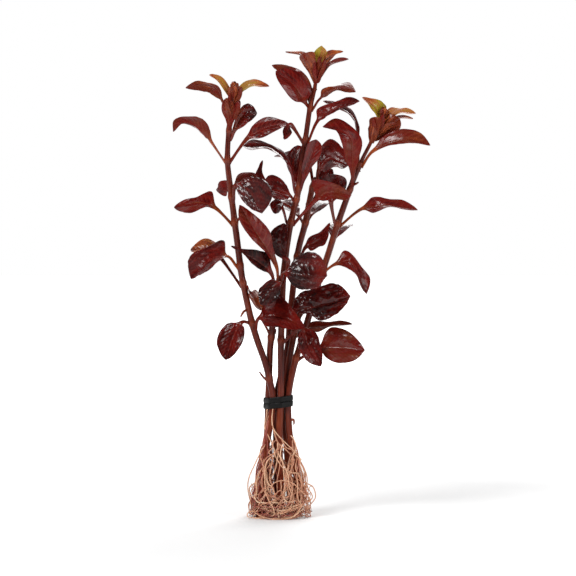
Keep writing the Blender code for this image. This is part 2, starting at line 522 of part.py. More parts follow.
def make_stem(stem, material, collection):
    """A stem with swollen nodes, its cut foot flat on the floor, and its stubs fused to it."""
    points = []
    radii = []
    for height in ring_heights(stem):
        at_node = any(abs(height - node) < CLOSEST_RINGS / 2 for node in STEMS[stem]["nodes"])
        # The foot's last short stretch is upright, so that its cut is level
        points.append(stem_centre(stem, height) if height > FOOT_STRAIGHT
                      else Vector((*stem_centre(stem, 0.0).xy, height)))
        radii.append(stem_radius(height) * (NODE_SWELLING if at_node else 1.0))
    body = tube(points, radii, STEM_SIDES_STEP, collection)
    stubs = [tube([Vector(point) for point in stub], STUB_RADII, 0, collection)
             for stub in STEMS[stem]["stubs"]]
    return united("stem_" + stem, body, stubs, material, collection)


def curve_through(knots, points, place):
    """The point at a place on a smooth curve that passes each given point at its knot."""
    last = len(knots) - 1
    index = max(i for i in range(last) if knots[i] <= place)

    def slope(at):
        if at in (0, last):
            near = min(at + 1, last)
            return (points[near] - points[near - 1]) / (knots[near] - knots[near - 1])
        before, after = knots[at] - knots[at - 1], knots[at + 1] - knots[at]
        rising = (points[at] - points[at - 1]) / before
        leaving = (points[at + 1] - points[at]) / after
        return (rising * after + leaving * before) / (before + after)

    span = knots[index + 1] - knots[index]
    t = (place - knots[index]) / span
    return ((2 * t ** 3 - 3 * t ** 2 + 1) * points[index] + (t ** 3 - 2 * t ** 2 + t) * span * slope(index)
            + (3 * t ** 2 - 2 * t ** 3) * points[index + 1] + (t ** 3 - t ** 2) * span * slope(index + 1))


class Midrib:
    """A leaf's line from its petiole's foot to its tip, and the way its upper side faces."""

    def __init__(self, path_points, petiole_end, faces):
        self.path = smooth_path(path_points)
        self.travelled = lengths_along(self.path)
        self.blade_start = self.travelled[petiole_end * PATH_STEPS]
        self.faces = [Vector(face) for face in faces]

    def at(self, on_blade, share):
        """The centre, the sideways direction and the facing at a share of blade or petiole."""
        length = self.travelled[-1]
        start = self.blade_start if on_blade else 0.0
        span = length - self.blade_start if on_blade else self.blade_start
        distance = start + share * span
        ahead = point_at(self.path, self.travelled, min(distance + DIRECTION_REACH, length))
        behind = point_at(self.path, self.travelled, max(distance - DIRECTION_REACH, 0.0))
        facing = self.faces[0].lerp(self.faces[1], share if on_blade else 0.0)
        side = (ahead - behind).normalized().cross(facing).normalized()
        return point_at(self.path, self.travelled, distance), side, facing


def blade_margins(midrib, form):
    """Both margins at MARGIN_SHARES: in the planes the blade faces, or a plain width's oval."""
    places = [midrib.at(True, share) for share in MARGIN_SHARES]
    base, tip = places[0][0], places[-1][0]
    inner = places[1:-1]
    if isinstance(form, tuple):
        left, right = [[Vector((x, centre.y - (facing.x * (x - centre.x) + facing.z * (z - centre.z))
                                / facing.y, z))
                        for (centre, side, facing), (x, z) in zip(inner, margin)] for margin in form]
        if (right[1] - left[1]).dot(inner[1][1]) < 0:
            left, right = right, left
    else:
        left, right = [[centre + side * (hand * form / 2 * part)
                        for (centre, side, facing), part in zip(inner, PLAIN_BLADE)] for hand in (-1, 1)]
    return [[base, *left, tip], [base, *right, tip]]


def leaf_object(name, midrib, stations, form, material, collection):
    """A leaf as a solid: a grid laid along its midrib and between its margins, made thick.

    stations are (on the blade, share of that length) pairs.
    """
    margins = blade_margins(midrib, form)
    cage = bmesh.new()
    rows = len(stations) - 1
    bmesh.ops.create_grid(cage, x_segments=2, y_segments=rows, size=1.0)
    placed = {}
    for row, (on_blade, share) in enumerate(stations):
        centre, side, _ = midrib.at(on_blade, share)
        least = max(PETIOLE_WIDTH / 2 * (1 - share), BLADE_TIP_HALF_WIDTH) if on_blade else PETIOLE_WIDTH / 2
        placed[(row, 0)] = centre
        for hand, margin in ((-1, margins[0]), (1, margins[1])):
            reached = curve_through(MARGIN_SHARES, margin, share) - centre if on_blade else Vector()
            placed[(row, hand)] = centre + reached + side * hand * max(least - reached.length, 0.0)
    weights = {}
    for vert in cage.verts:
        row = round((vert.co.y + 1) / 2 * rows)
        column = round(vert.co.x)
        vert.co = placed[(row, column)] * MM
        on_blade, share = stations[row]
        thin = on_blade and share > 0
        weights[vert.index] = BLADE_THICKNESS / PETIOLE_WIDTH if thin else PETIOLE_DEPTH_SHARE
    bmesh.ops.recalc_face_normals(cage, faces=cage.faces)
    mesh = bpy.data.meshes.new(name)
    cage.to_mesh(mesh)
    cage.free()
    made = add_object(name, mesh, material, collection)
    group = made.vertex_groups.new(name="thickness")
    for index, weight in weights.items():
        group.add([index], weight, "REPLACE")
    shell = made.modifiers.new("thickness", "SOLIDIFY")
    shell.thickness = PETIOLE_WIDTH * MM
    shell.offset = 0.0
    shell.vertex_group = "thickness"
    shell.use_even_offset = False
    return made


def make_leaf(name, material, collection):
    """A grown leaf, its petiole starting a hair off its stem at the node."""
    stem, node, rib, form, face, tip_face = LEAVES[name]
    rib = [Vector(point) for point in rib]
    axis = stem_centre(stem, node)
    outward = Vector((rib[0].x - axis.x, rib[0].y - axis.y, 0.0)).normalized()
    reach = stem_radius(node) * NODE_SWELLING + TOUCH_GAP + PETIOLE_WIDTH / 2
    start = axis + outward * reach
    stations = [(False, share) for share in PETIOLE_STATIONS]
    stations += [(True, share) for share in BLADE_STATIONS]
    midrib = Midrib([start, *rib], 1, (face, tip_face or face))
    return leaf_object("leaf_" + name, midrib, stations, form, material, collection)


def make_shoot_tip(tip, material, collection):
    """A growing tip: the end of the stem, its bud and its young leaves, grown together."""
    line = [Vector(point) for point in SHOOT_TIPS[tip]["line"]]
    radii = [YOUNG_STEM_RADIUS] * (len(line) - 1) + [YOUNG_STEM_RADIUS * TIP_END_TAPER]
    body = tube(line, radii, STEM_SIDES_STEP, collection)
    stations = [(True, share) for share in YOUNG_STATIONS]
    young = []
    for rib, form, face in SHOOT_TIPS[tip]["leaves"]:
        midrib = Midrib([Vector(point) for point in rib], 0, (face, face))
        young.append(leaf_object("young", midrib, stations, form, material, collection))
    return united("shoot_tip_" + tip, body, young, material, collection)


def farthest_stem(direction, heights):
    """The centre of the stem that reaches farthest in a level direction, and how far it reaches."""
    centres = [stem_centre(stem, height) for stem in STEMS for height in heights]
    centre = max(centres, key=lambda point: (point.xy - BUNCH_AXIS).dot(direction))
    reach = (centre.xy - BUNCH_AXIS).dot(direction) + stem_radius(centre.z) * NODE_SWELLING
    return centre.xy, reach


def band_points():
    """The centre line of the band: twice round the stems, the two turns crossing at the back."""
    stand_off = stem_radius(BAND_HEIGHT) + TOUCH_GAP + BAND_HALF_THICKNESS + BAND_CORNER_ROOM
    heights = (BAND_HEIGHT - BAND_ZONE, BAND_HEIGHT + BAND_ZONE)
    hull = []
    outward = []
    for step in range(HULL_STEPS + 1):
        angle = 2 * math.pi * step / HULL_STEPS + math.pi / 2
        direction = Vector((math.cos(angle), math.sin(angle)))
        centre = farthest_stem(direction, heights)[0]
        hull.append(centre + direction * stand_off)
        outward.append(direction)
    travelled = lengths_along(hull)
    points = []
    for step in range(2 * BAND_STEPS_A_TURN):
        through = step % BAND_STEPS_A_TURN / BAND_STEPS_A_TURN
        near = max(0.0, 1 - min(through, 1 - through) / BAND_CROSSING_SHARE)
        upper = step < BAND_STEPS_A_TURN
        outer = upper == (through < 0.5)
        flat = point_at(hull, travelled, through * travelled[-1])
        if outer:
            away = point_at(outward, travelled, through * travelled[-1]).normalized()
            flat = flat + away * (2 * BAND_HALF_THICKNESS + BAND_CROSSING_GAP) * min(1.0, 2 * near)
        rise = (1 if upper else -1) * (1 - near) * BAND_TURN_RISE
        tilt = (flat.x - BUNCH_AXIS.x) * BAND_TILT
        points.append(Vector((flat.x, flat.y, BAND_HEIGHT + tilt + rise)))
    return points


def make_band(material, collection):
    """The rubber band, a flat strand swept along its line."""
    section = bpy.data.curves.new("band_section", "CURVE")
    section.dimensions = "2D"
    outline = section.splines.new("POLY")
    outline.points.add(BAND_SECTION_SIDES - 1)
    outline.use_cyclic_u = True
    for index, corner in enumerate(outline.points):
        angle = 2 * math.pi * (index + 0.5) / BAND_SECTION_SIDES
        corner.co = (BAND_HALF_THICKNESS * MM * math.cos(angle),
                     BAND_HALF_HEIGHT * MM * math.sin(angle), 0.0, 1.0)
    guide = bpy.data.objects.new("band_section", section)
    collection.objects.link(guide)
    curve = bpy.data.curves.new("rubber_band", "CURVE")
    curve.dimensions = "3D"
    curve.twist_mode = "Z_UP"
    curve.bevel_mode = "OBJECT"
    curve.bevel_object = guide
    line = band_points()
    spline = curve.splines.new("POLY")
    spline.points.add(len(line) - 1)
    spline.use_cyclic_u = True
    for target, point in zip(spline.points, line):
        target.co = (*(point * MM), 1.0)
    loop = curve_to_mesh_object(curve, collection)
    bpy.data.objects.remove(guide)
    mesh = loop.data
    bpy.data.objects.remove(loop)
    return add_object("rubber_band", mesh, material, collection)


def skirt_point(angle, height, stand_off):
    """A point of the root skirt: on its outline, and clear of the stems inside it."""
    direction = Vector((math.cos(angle), math.sin(angle)))
    clear = farthest_stem(direction, [height])[1] + TOUCH_GAP + ROOT_STRAND_RADIUS
    reach = max(between(SKIRT, height) - ROOT_STRAND_RADIUS, clear) + stand_off
    flat = BUNCH_AXIS + direction * reach
    return Vector((flat.x, flat.y, height))


def root_strand(number):
    """The line of one strand: down the skirt in slow waves, then out along the floor."""
    start = 2 * math.pi * number / ROOT_STRANDS
    line = []
    for height in ROOT_STRAND_HEIGHTS:
        sway = STRAND_SWAY[0] * math.sin(height / STRAND_SWAY[1] + STRAND_SWAY[2] * number)
        bulge = STRAND_BULGE[0] * (1 + math.sin(height / STRAND_BULGE[1] + STRAND_BULGE[2] * number))
        line.append(skirt_point(start + sway, height, bulge))
    hand = (-1) ** number
    line.append(skirt_point(start + hand * STRAND_TURNS[0], ROOT_STRAND_FOOT, 0.0))
    line.append(skirt_point(start + hand * STRAND_TURNS[1], ROOT_STRAND_FOOT, STRAND_END_OUT))
    return line


def make_root_tuft(material, collection):
    """The root tuft: strands that hang as a skirt, joined by the coil they lie in on the floor."""
    coil = []
    for step in range(ROOT_COIL_STEPS):
        angle = 2 * math.pi * step / ROOT_COIL_STEPS
        wave = ROOT_COIL_WAVE_HEIGHT * math.sin(ROOT_COIL_WAVES * angle)
        coil.append(skirt_point(angle, ROOT_STRAND_FOOT, wave))
    body = tube(coil, [ROOT_STRAND_RADIUS] * len(coil), 0, collection, closed=True)
    strands = []
    for number in range(ROOT_STRANDS):
        line = root_strand(number)
        strands.append(tube(line, [ROOT_STRAND_RADIUS] * len(line), 0, collection))
    return united("root_tuft", body, strands, material, collection)


def build():
    for old in list(bpy.data.objects):
        bpy.data.objects.remove(old)
    bunch = bpy.data.collections.new("ludwigia_repens")
    bpy.context.scene.collection.children.link(bunch)
    stem_brown = principled("stem_brown", (0.13, 0.028, 0.014), 0.4)
    leaf_red = principled("leaf_red", (0.12, 0.01, 0.012), 0.25)
    young_green = principled("young_green", (0.33, 0.17, 0.03), 0.35)
    rubber_black = principled("rubber_black", (0.012, 0.012, 0.013), 0.5)
    root_tan = principled("root_tan", (0.62, 0.32, 0.2), 0.55)
    for stem in STEMS:
        make_stem(stem, stem_brown, bunch)
    for leaf in LEAVES:
        make_leaf(leaf, leaf_red, bunch)
    for tip in SHOOT_TIPS:
        make_shoot_tip(tip, young_green, bunch)
    make_band(rubber_black, bunch)
    make_root_tuft(root_tan, bunch)


build()
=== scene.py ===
"""The looks of a tied bunch of Ludwigia repens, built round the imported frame.

Lengths in the tables are millimetres: x to the right, y to the back, z up and the floor at z = 0.
Meshes, lamps and the camera are in metres.
"""
import math
import random
from types import SimpleNamespace

import bpy
import numpy as np
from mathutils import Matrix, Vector, noise


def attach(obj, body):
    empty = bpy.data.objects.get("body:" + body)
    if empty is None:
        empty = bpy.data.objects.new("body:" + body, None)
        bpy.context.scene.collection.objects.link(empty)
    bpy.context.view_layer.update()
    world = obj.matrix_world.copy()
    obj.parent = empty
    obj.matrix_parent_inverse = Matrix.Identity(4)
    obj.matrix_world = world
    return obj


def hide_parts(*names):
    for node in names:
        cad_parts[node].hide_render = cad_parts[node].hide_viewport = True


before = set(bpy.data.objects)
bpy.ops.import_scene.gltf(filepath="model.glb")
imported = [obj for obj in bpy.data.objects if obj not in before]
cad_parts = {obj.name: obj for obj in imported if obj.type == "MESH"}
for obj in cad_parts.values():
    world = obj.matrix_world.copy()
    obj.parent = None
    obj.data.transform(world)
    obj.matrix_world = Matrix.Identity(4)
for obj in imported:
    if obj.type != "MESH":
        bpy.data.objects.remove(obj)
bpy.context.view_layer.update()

MM = 0.001

# Stems
STEM_RADII = [(0.0, 1.7), (90.0, 1.6), (150.0, 1.58), (185.0, 1.3), (230.0, 1.15)]
YOUNG_STEM_RADIUS = 1.15
YOUNG_STEM_SIDES = 16
NODE_SWELLING = 0.2
NODE_HALF_LENGTH = 1.6
STEM_RING_STEP = 0.7
STEM_SIDES = 28
STEM_RIDGES = 7
STEM_RIDGE_HEIGHT = 0.045
STEM_RIDGE_TWIST = 0.012
LUMP_HEIGHT = 0.05
SCAR_HEIGHT = 0.07
STUB_RADII = (0.75, 0.6, 0.55, 0.35)
STUB_SIDES = 12
# These stems are rounded off under the leaves they end in, over the last of their length
ROUNDED_STEMS = ("back", "front", "low")
ROUNDING_LENGTH = 2.2
# Tints: the plain skin, what a node, the slow change along it, the ridges and the foot add or take,
# and the heights where the foot's brown fades
STEM_TINT = 0.5
NODE_TINT = 0.08
SLOW_TINT = 0.06
RIDGE_TINT = 0.05
FOOT_TINT = 0.24
BROWN_FOOT = (20.0, 75.0)

# Leaves
PETIOLE_HALF_WIDTH = 0.66
PETIOLE_HALF_DEPTH = 0.45
PETIOLE_FOOT_FLARE = 0.45
PETIOLE_WING = 0.9
# How far a petiole's first bend stands off the stem's skin, and how far down in the stem it starts
PETIOLE_BEND_ROOM = 0.3
PETIOLE_START_DEPTH = 0.9
PETIOLE_STEEP_DEPTH = 1.6
BLADE_THICKNESS = 0.26
MARGIN_THICKNESS = 0.12
LEAST_THICKNESS = 0.02
KEEL_HEIGHT = 0.42
KEEL_HALF_WIDTH = 0.42
GROOVE_DEPTH = 0.16
GROOVE_HALF_WIDTH = 0.38
TIP_HALF_WIDTH = 0.12
BELLY = 0.06
# How much closer rows stand near a blade's ends, and columns near its margins
ROW_CROWDING = 0.06
COLUMN_CROWDING = 0.9
WAVES_A_BLADE = 1.6
# How far the waves of the right margin are ahead of the left margin's, as a share of a wave
WAVE_LEAD = 0.37
VEIN_LEAST_SPACING = 1.7
VEINS_A_SIDE = 9
VEIN_HALF_WIDTH = 0.11
# How far a side vein leans forward at a distance from the midrib, and by its square
VEIN_LEAN = 0.8
VEIN_BEND = 0.05
# Between which shares of the way to the margin the side veins begin, and end, and where along the
# blade they fade
VEINS_BEGIN = (0.0, 0.22)
VEINS_END = (0.72, 1.0)
VEINS_FADE = (0.86, 1.0)
PETIOLE_ROWS = 12
BLADE_ROWS = 54
BLADE_COLUMNS = 27
PATH_STEPS = 12
# How far before and behind a point the path's direction is taken there
DIRECTION_REACH = 0.6
# A blade of this half width or more has its full relief, and the narrowest blade this share of it
FULL_RELIEF_WIDTH = 5.0
LEAST_RELIEF = 0.15
# Shares of a blade's length: where its relief is full, where the petiole's width and tint have
# faded, how long the waist at its base is, and between which two the tip is rounded
RELIEF_FULL = 0.14
PETIOLE_FADED = 0.3
PETIOLE_TINT_FADED = 0.2
WAIST_LENGTH = 0.12
BLUNT_FROM = (0.8, 0.95)
TIP_LENGTH = 0.06
# How fast the creases, ridges, swells and lengthwise folds of a blade change, in bumps a millimetre
CREASE_GRAIN = 0.3
FINE_CREASE_GRAIN = 0.62
RIDGE_GRAIN = 0.38
SWELL_GRAIN = 0.12
FOLD_GRAIN = np.array([1.0, 0.14, 1.0])
SWELL_HEIGHT = 0.5
# How much painted light and shade the folds and swells put in the tint, paler where they lift the blade
# and darker where they sink it, what a plain midrib adds, how much of its own tint a midrib has, and
# where along the blade it fades and the upper side's tip tint comes in
FOLD_PAINTED_SHADING = 0.14
SWELL_PAINTED_SHADING = 0.16
RIB_TINT = 0.1
RIB_SHARE = 0.8
RIB_FADES = (0.35, 1.0)
TIP_TINT_FROM = (0.35, 0.85)
BUD_LEAVES = 5
BUD_SIZE = 4.6

# The rubber band
BAND_HEIGHT = 57.6
BAND_HALF_HEIGHT = 1.4
BAND_HALF_THICKNESS = 0.42
BAND_TURN_RISE = 1.42
BAND_TILT = 0.11
BAND_STEPS_A_TURN = 90
BAND_SIDES = 20
BAND_ZONE = 3.2
BAND_CROSSING_SHARE = 0.14
BAND_CROSSING_GAP = 0.4
BAND_DENTS = 0.11
HULL_STEPS = 96
BUNCH_AXIS = np.array([-10.0, 0.0])

# Roots
ROOT_RADIUS = 0.28
ROOT_THICKNESSES = (0.75, 1.3)
ROOT_TAPER = (1.15, 0.6)
TRACED_ROOT_TAPER = (1.15, 0.85)
ROOT_STEP = 1.8
ROOT_SIDES = 5
# The share of the stem's radius at which a root starts
ROOT_SEAT = 0.7
# A root's length for the height it starts from, and the least and most that is added to it
LENGTH_FOR_HEIGHT = 1.1
FREE_LENGTHS = (4, 34)
# The heights between which a root goes over from hanging to curling
CURLING_HEIGHTS = (5, 26)
# What a root keeps of its bend from step to step, how much it sways where it hangs and how much
# more where it curls, its pull to the skirt, its droop, and the share of the droop lost in curling
BEND_KEPT = 0.75
HANGING_SWAY = 0.07
CURLING_SWAY = 0.13
SKIRT_PULL = 0.05
DROOP = 0.26
DROOP_LOST = 0.85
# The least and greatest height at which a root comes to lie
LYING_HEIGHTS = (0.35, 2.2)
# How far in front of the bunch's axis a front root lies at least, and the draws by which each of
# its points then goes out or in
FRONT_ROOT_LEAST_DEPTH = 3.0
FRONT_ROOT_DRAWS = (-0.6, 1.0)

# Display colours along the leaves' tint, from the darkest wine red to yellow green, the colour that
# their side veins turn to, and how far
TINTS = [(0.0, (16, 3, 3)), (0.14, (38, 4, 4)), (0.28, (68, 7, 6)), (0.42, (98, 14, 9)),
         (0.54, (92, 29, 15)), (0.64, (108, 44, 20)), (0.72, (146, 66, 30)), (0.79, (160, 96, 48)),
         (0.89, (150, 106, 38)), (1.0, (152, 134, 34))]
VEIN_COLOUR = (160, 84, 66)
VEIN_PALENESS = 0.26
# Roughness of a leaf's upper side, and what its lower side adds
LEAF_ROUGHNESS = 0.32
UNDER_ROUGHNESS = 0.1
# The water film covers the leaf where noise and gloss together pass a level, with a steep edge
FILM_GRAIN = 140.0
FILM_LEVEL = 0.92
FILM_EDGE = 4.5
LEAST_FILM = 0.02
STEM_COLOURS = [(0.0, (22, 4, 4)), (0.3, (54, 13, 9)), (0.5, (84, 26, 15)), (0.7, (112, 44, 22)),
                (1.0, (142, 72, 38))]
NODE_COLOUR = (138, 60, 34)
NODE_GLOW = 0.3
ROOT_COLOURS = [(0.0, (142, 58, 46)), (0.3, (176, 100, 80)), (0.55, (202, 140, 108)),
                (0.8, (224, 172, 136)), (1.0, (240, 202, 168))]
RUBBER_COLOURS = [(0.2, (5, 5, 5)), (0.6, (12, 11, 11)), (0.9, (34, 33, 32))]

# The camera, in metres
CAMERA_AIM = Vector((-0.006, 0.0, 0.1145))
CAMERA_DISTANCE = 1.2
CAMERA_PITCH = math.radians(2.0)
CAMERA_LENS = 150.0

# The floor glows into the white background between two distances from the bunch, in metres
FLOOR_SIZE = 8.0
FLOOR_GLOW_FROM = 0.12
FLOOR_GLOW_TO = 0.75
FLOOR_LEAST_GLOW = 0.08
FLOOR_TONE = 0.75

# Brightness of the room behind the bunch, above it and on the camera's side
ROOM_BEHIND = 0.5
ROOM_ABOVE = 0.55
ROOM_FRONT = 0.03
LAMP_AIM = Vector((-0.006, 0.0, 0.12))
# Each lamp's place and size in metres, and its power in watts
LAMPS = {
    "key": ((-0.8, -0.9, 1.1), 0.5, 17.0),
    "fill": ((0.9, -0.8, 0.5), 0.5, 5.0),
    "rim": ((0.3, 0.9, 0.9), 0.8, 11.0),
}

# Each stem from its cut foot to its tip, its nodes' heights, and its broken petiole stubs
STEMS = {
    "left": {
        "line": [
            (-20.5, -6, 0), (-19, -4.5, 18.5), (-17.2, -3.6, 33.5), (-14.6, -2.8, 48.5),
            (-13.6, -2.6, 59.5), (-15.2, -2.9, 68.5), (-17.5, -3.2, 77.5), (-21, -3.6, 87.5),
            (-24, -4.5, 97.5), (-26.5, -5, 108.5), (-29, -5.6, 121), (-31, -6, 136), (-32.5, -6.5, 147.5),
            (-34.5, -7, 163.5), (-36, -7.5, 178.5), (-35, -7.8, 196), (-34, -8, 203)],
        "nodes": (69.5, 97, 117, 126, 147.5, 160, 178.5, 193),
        "stubs": [
            [(-16.2, -3, 68.3), (-18.2, -3.6, 70), (-20.3, -4, 72.8)],
            [(-26, -5.2, 104), (-28, -7.5, 103), (-29.5, -8.4, 100.5)],
            [(-31.9, -6.6, 147), (-30.2, -7.6, 149.5), (-29.6, -8, 152)]],
    },
    "middle": {
        "line": [
            (-9, -7, 0), (-10, -5, 23.5), (-10.3, -3.9, 43.5), (-9.6, -3.3, 59.5), (-9.5, -3.2, 73.5),
            (-9.5, -3.5, 88.5), (-9, -4, 103.5), (-8.5, -3.6, 118.5), (-7.5, -3.2, 127.5),
            (-6.5, -2.8, 136), (-4.5, -2.2, 147.5), (-2.5, -2, 156), (-0.5, -2, 165), (1.5, -2, 181),
            (3, -2, 191), (5, -1.8, 204.5), (7.2, -1.4, 214)],
        "nodes": (88.5, 147.5, 158.5, 164.5, 188.5, 204.5),
    },
    "right": {
        "line": [
            (-0.5, -3, 0), (-2, -2.6, 23.5), (-4.8, -2.2, 38.5), (-5.7, -1.9, 48.5), (-5.9, -1.7, 59.5),
            (-5, -1.2, 66), (-3.5, -0.6, 73.5), (-1, -0.2, 82.5), (2.5, 0.2, 93.5), (9, 0.8, 116),
            (14, 1.6, 131), (19, 2, 147), (24.5, 1.6, 162.5), (27, 1.2, 169.5), (30.5, 0.8, 177.5)],
        "nodes": (79.5, 124, 146.5, 163.5, 177),
        "stubs": [
            [(26.5, 1.2, 166), (28, 0.4, 166.6), (29.2, 0, 167.4)],
            [(-5, -2.2, 48), (-3.6, -2.6, 48.9), (-3, -2.8, 47.9), (-3.1, -2.8, 46.2)]],
    },
    "back": {
        "line": [
            (-11.5, 10, 0), (-11.6, 5.5, 25), (-12, 2.8, 46), (-11.8, 2, 59.5), (-9.3, 4.4, 71),
            (-6.2, 6.8, 83.5), (-5, 7.4, 98.5), (-3.5, 7.8, 113.5), (-1.5, 8, 129.5), (0, 8, 137),
            (2.5, 8, 146), (4.5, 8, 156), (6, 8, 163.5), (8, 8, 170)],
        "nodes": (130, 147, 165),
    },
    "front": {
        "line": [
            (-17.5, 7, 0), (-17, 3.6, 30), (-16.2, 1.7, 48), (-15.9, 1.0, 59.5), (-15.4, 1.1, 71),
            (-15, 0, 83.5), (-14, -2, 93.5), (-13, -5, 106), (-11, -7.5, 116), (-9.6, -8.8, 121)],
        "nodes": (90, 120),
        "stubs": [
            [(-14.6, -1, 90), (-16.4, -1.6, 94), (-17.8, -1.6, 96.2)],
            [(-14, -1, 90), (-12.6, -1.2, 92), (-12.1, -1.4, 94)]],
    },
    "low": {
        "line": [
            (-4.5, 7.5, 0), (-6.2, 4.4, 28), (-7.5, 2.4, 48), (-7.9, 1.9, 59.5), (-6, 2.8, 73.5),
            (-4, 3, 86), (-1.5, 3, 97.5), (0.5, 3, 104)],
        "nodes": (92, 102.5),
    },
}

# Where, as a share of the midrib's length, a margin's three points stand between base and tip,
# and a plain blade's width there
MARGIN_SHARES = (0.0, 0.2, 0.5, 0.82, 1.0)
PLAIN_BLADE = (0.62, 1.0, 0.66)

# How a leaf looks where its own row doesn't say. Tints run from 0, near black, over red and
# brown to 1, yellow green. Angles are degrees and lengths millimetres.
#   top, under, tip: tint of the upper side, the lower side and the last third of the upper side
#   rib, petiole: tint of the midrib and of the petiole
#   cup: how far the margins stand above the midrib; curl: how much their edges turn up
#   wave: height of the margin's waves; fold: height of the lengthwise folds
#   puff: height of the pillows between the side veins; crinkle: height of the uneven creases
#   blunt: width of the rounded tip; veins: how pale the side veins are
#   gloss: share of the blade under a film of water
#   tip_face: the way the upper side faces at the tip, where the blade twists
PLAIN_LEAF = dict(top=0.26, under=0.5, tip=None, rib=None, petiole=0.52, cup=12, curl=6, wave=0.3,
                  puff=0.14, crinkle=0.2, fold=0.16, blunt=0.35, veins=0.4, gloss=0.5, tip_face=None)
YOUNG_LEAF = {**PLAIN_LEAF, "crinkle": 0.1, "puff": 0.08, "wave": 0.25, "petiole": 0.66, "rib": 0.74,
              "veins": 0.35}
INNER_LEAF = {**PLAIN_LEAF, "fold": 0.25, "blunt": 0.2, "cup": 18}
BUD_LEAF = {**PLAIN_LEAF, "cup": 24, "wave": 0.05, "crinkle": 0.03, "puff": 0.03, "blunt": 0.25}

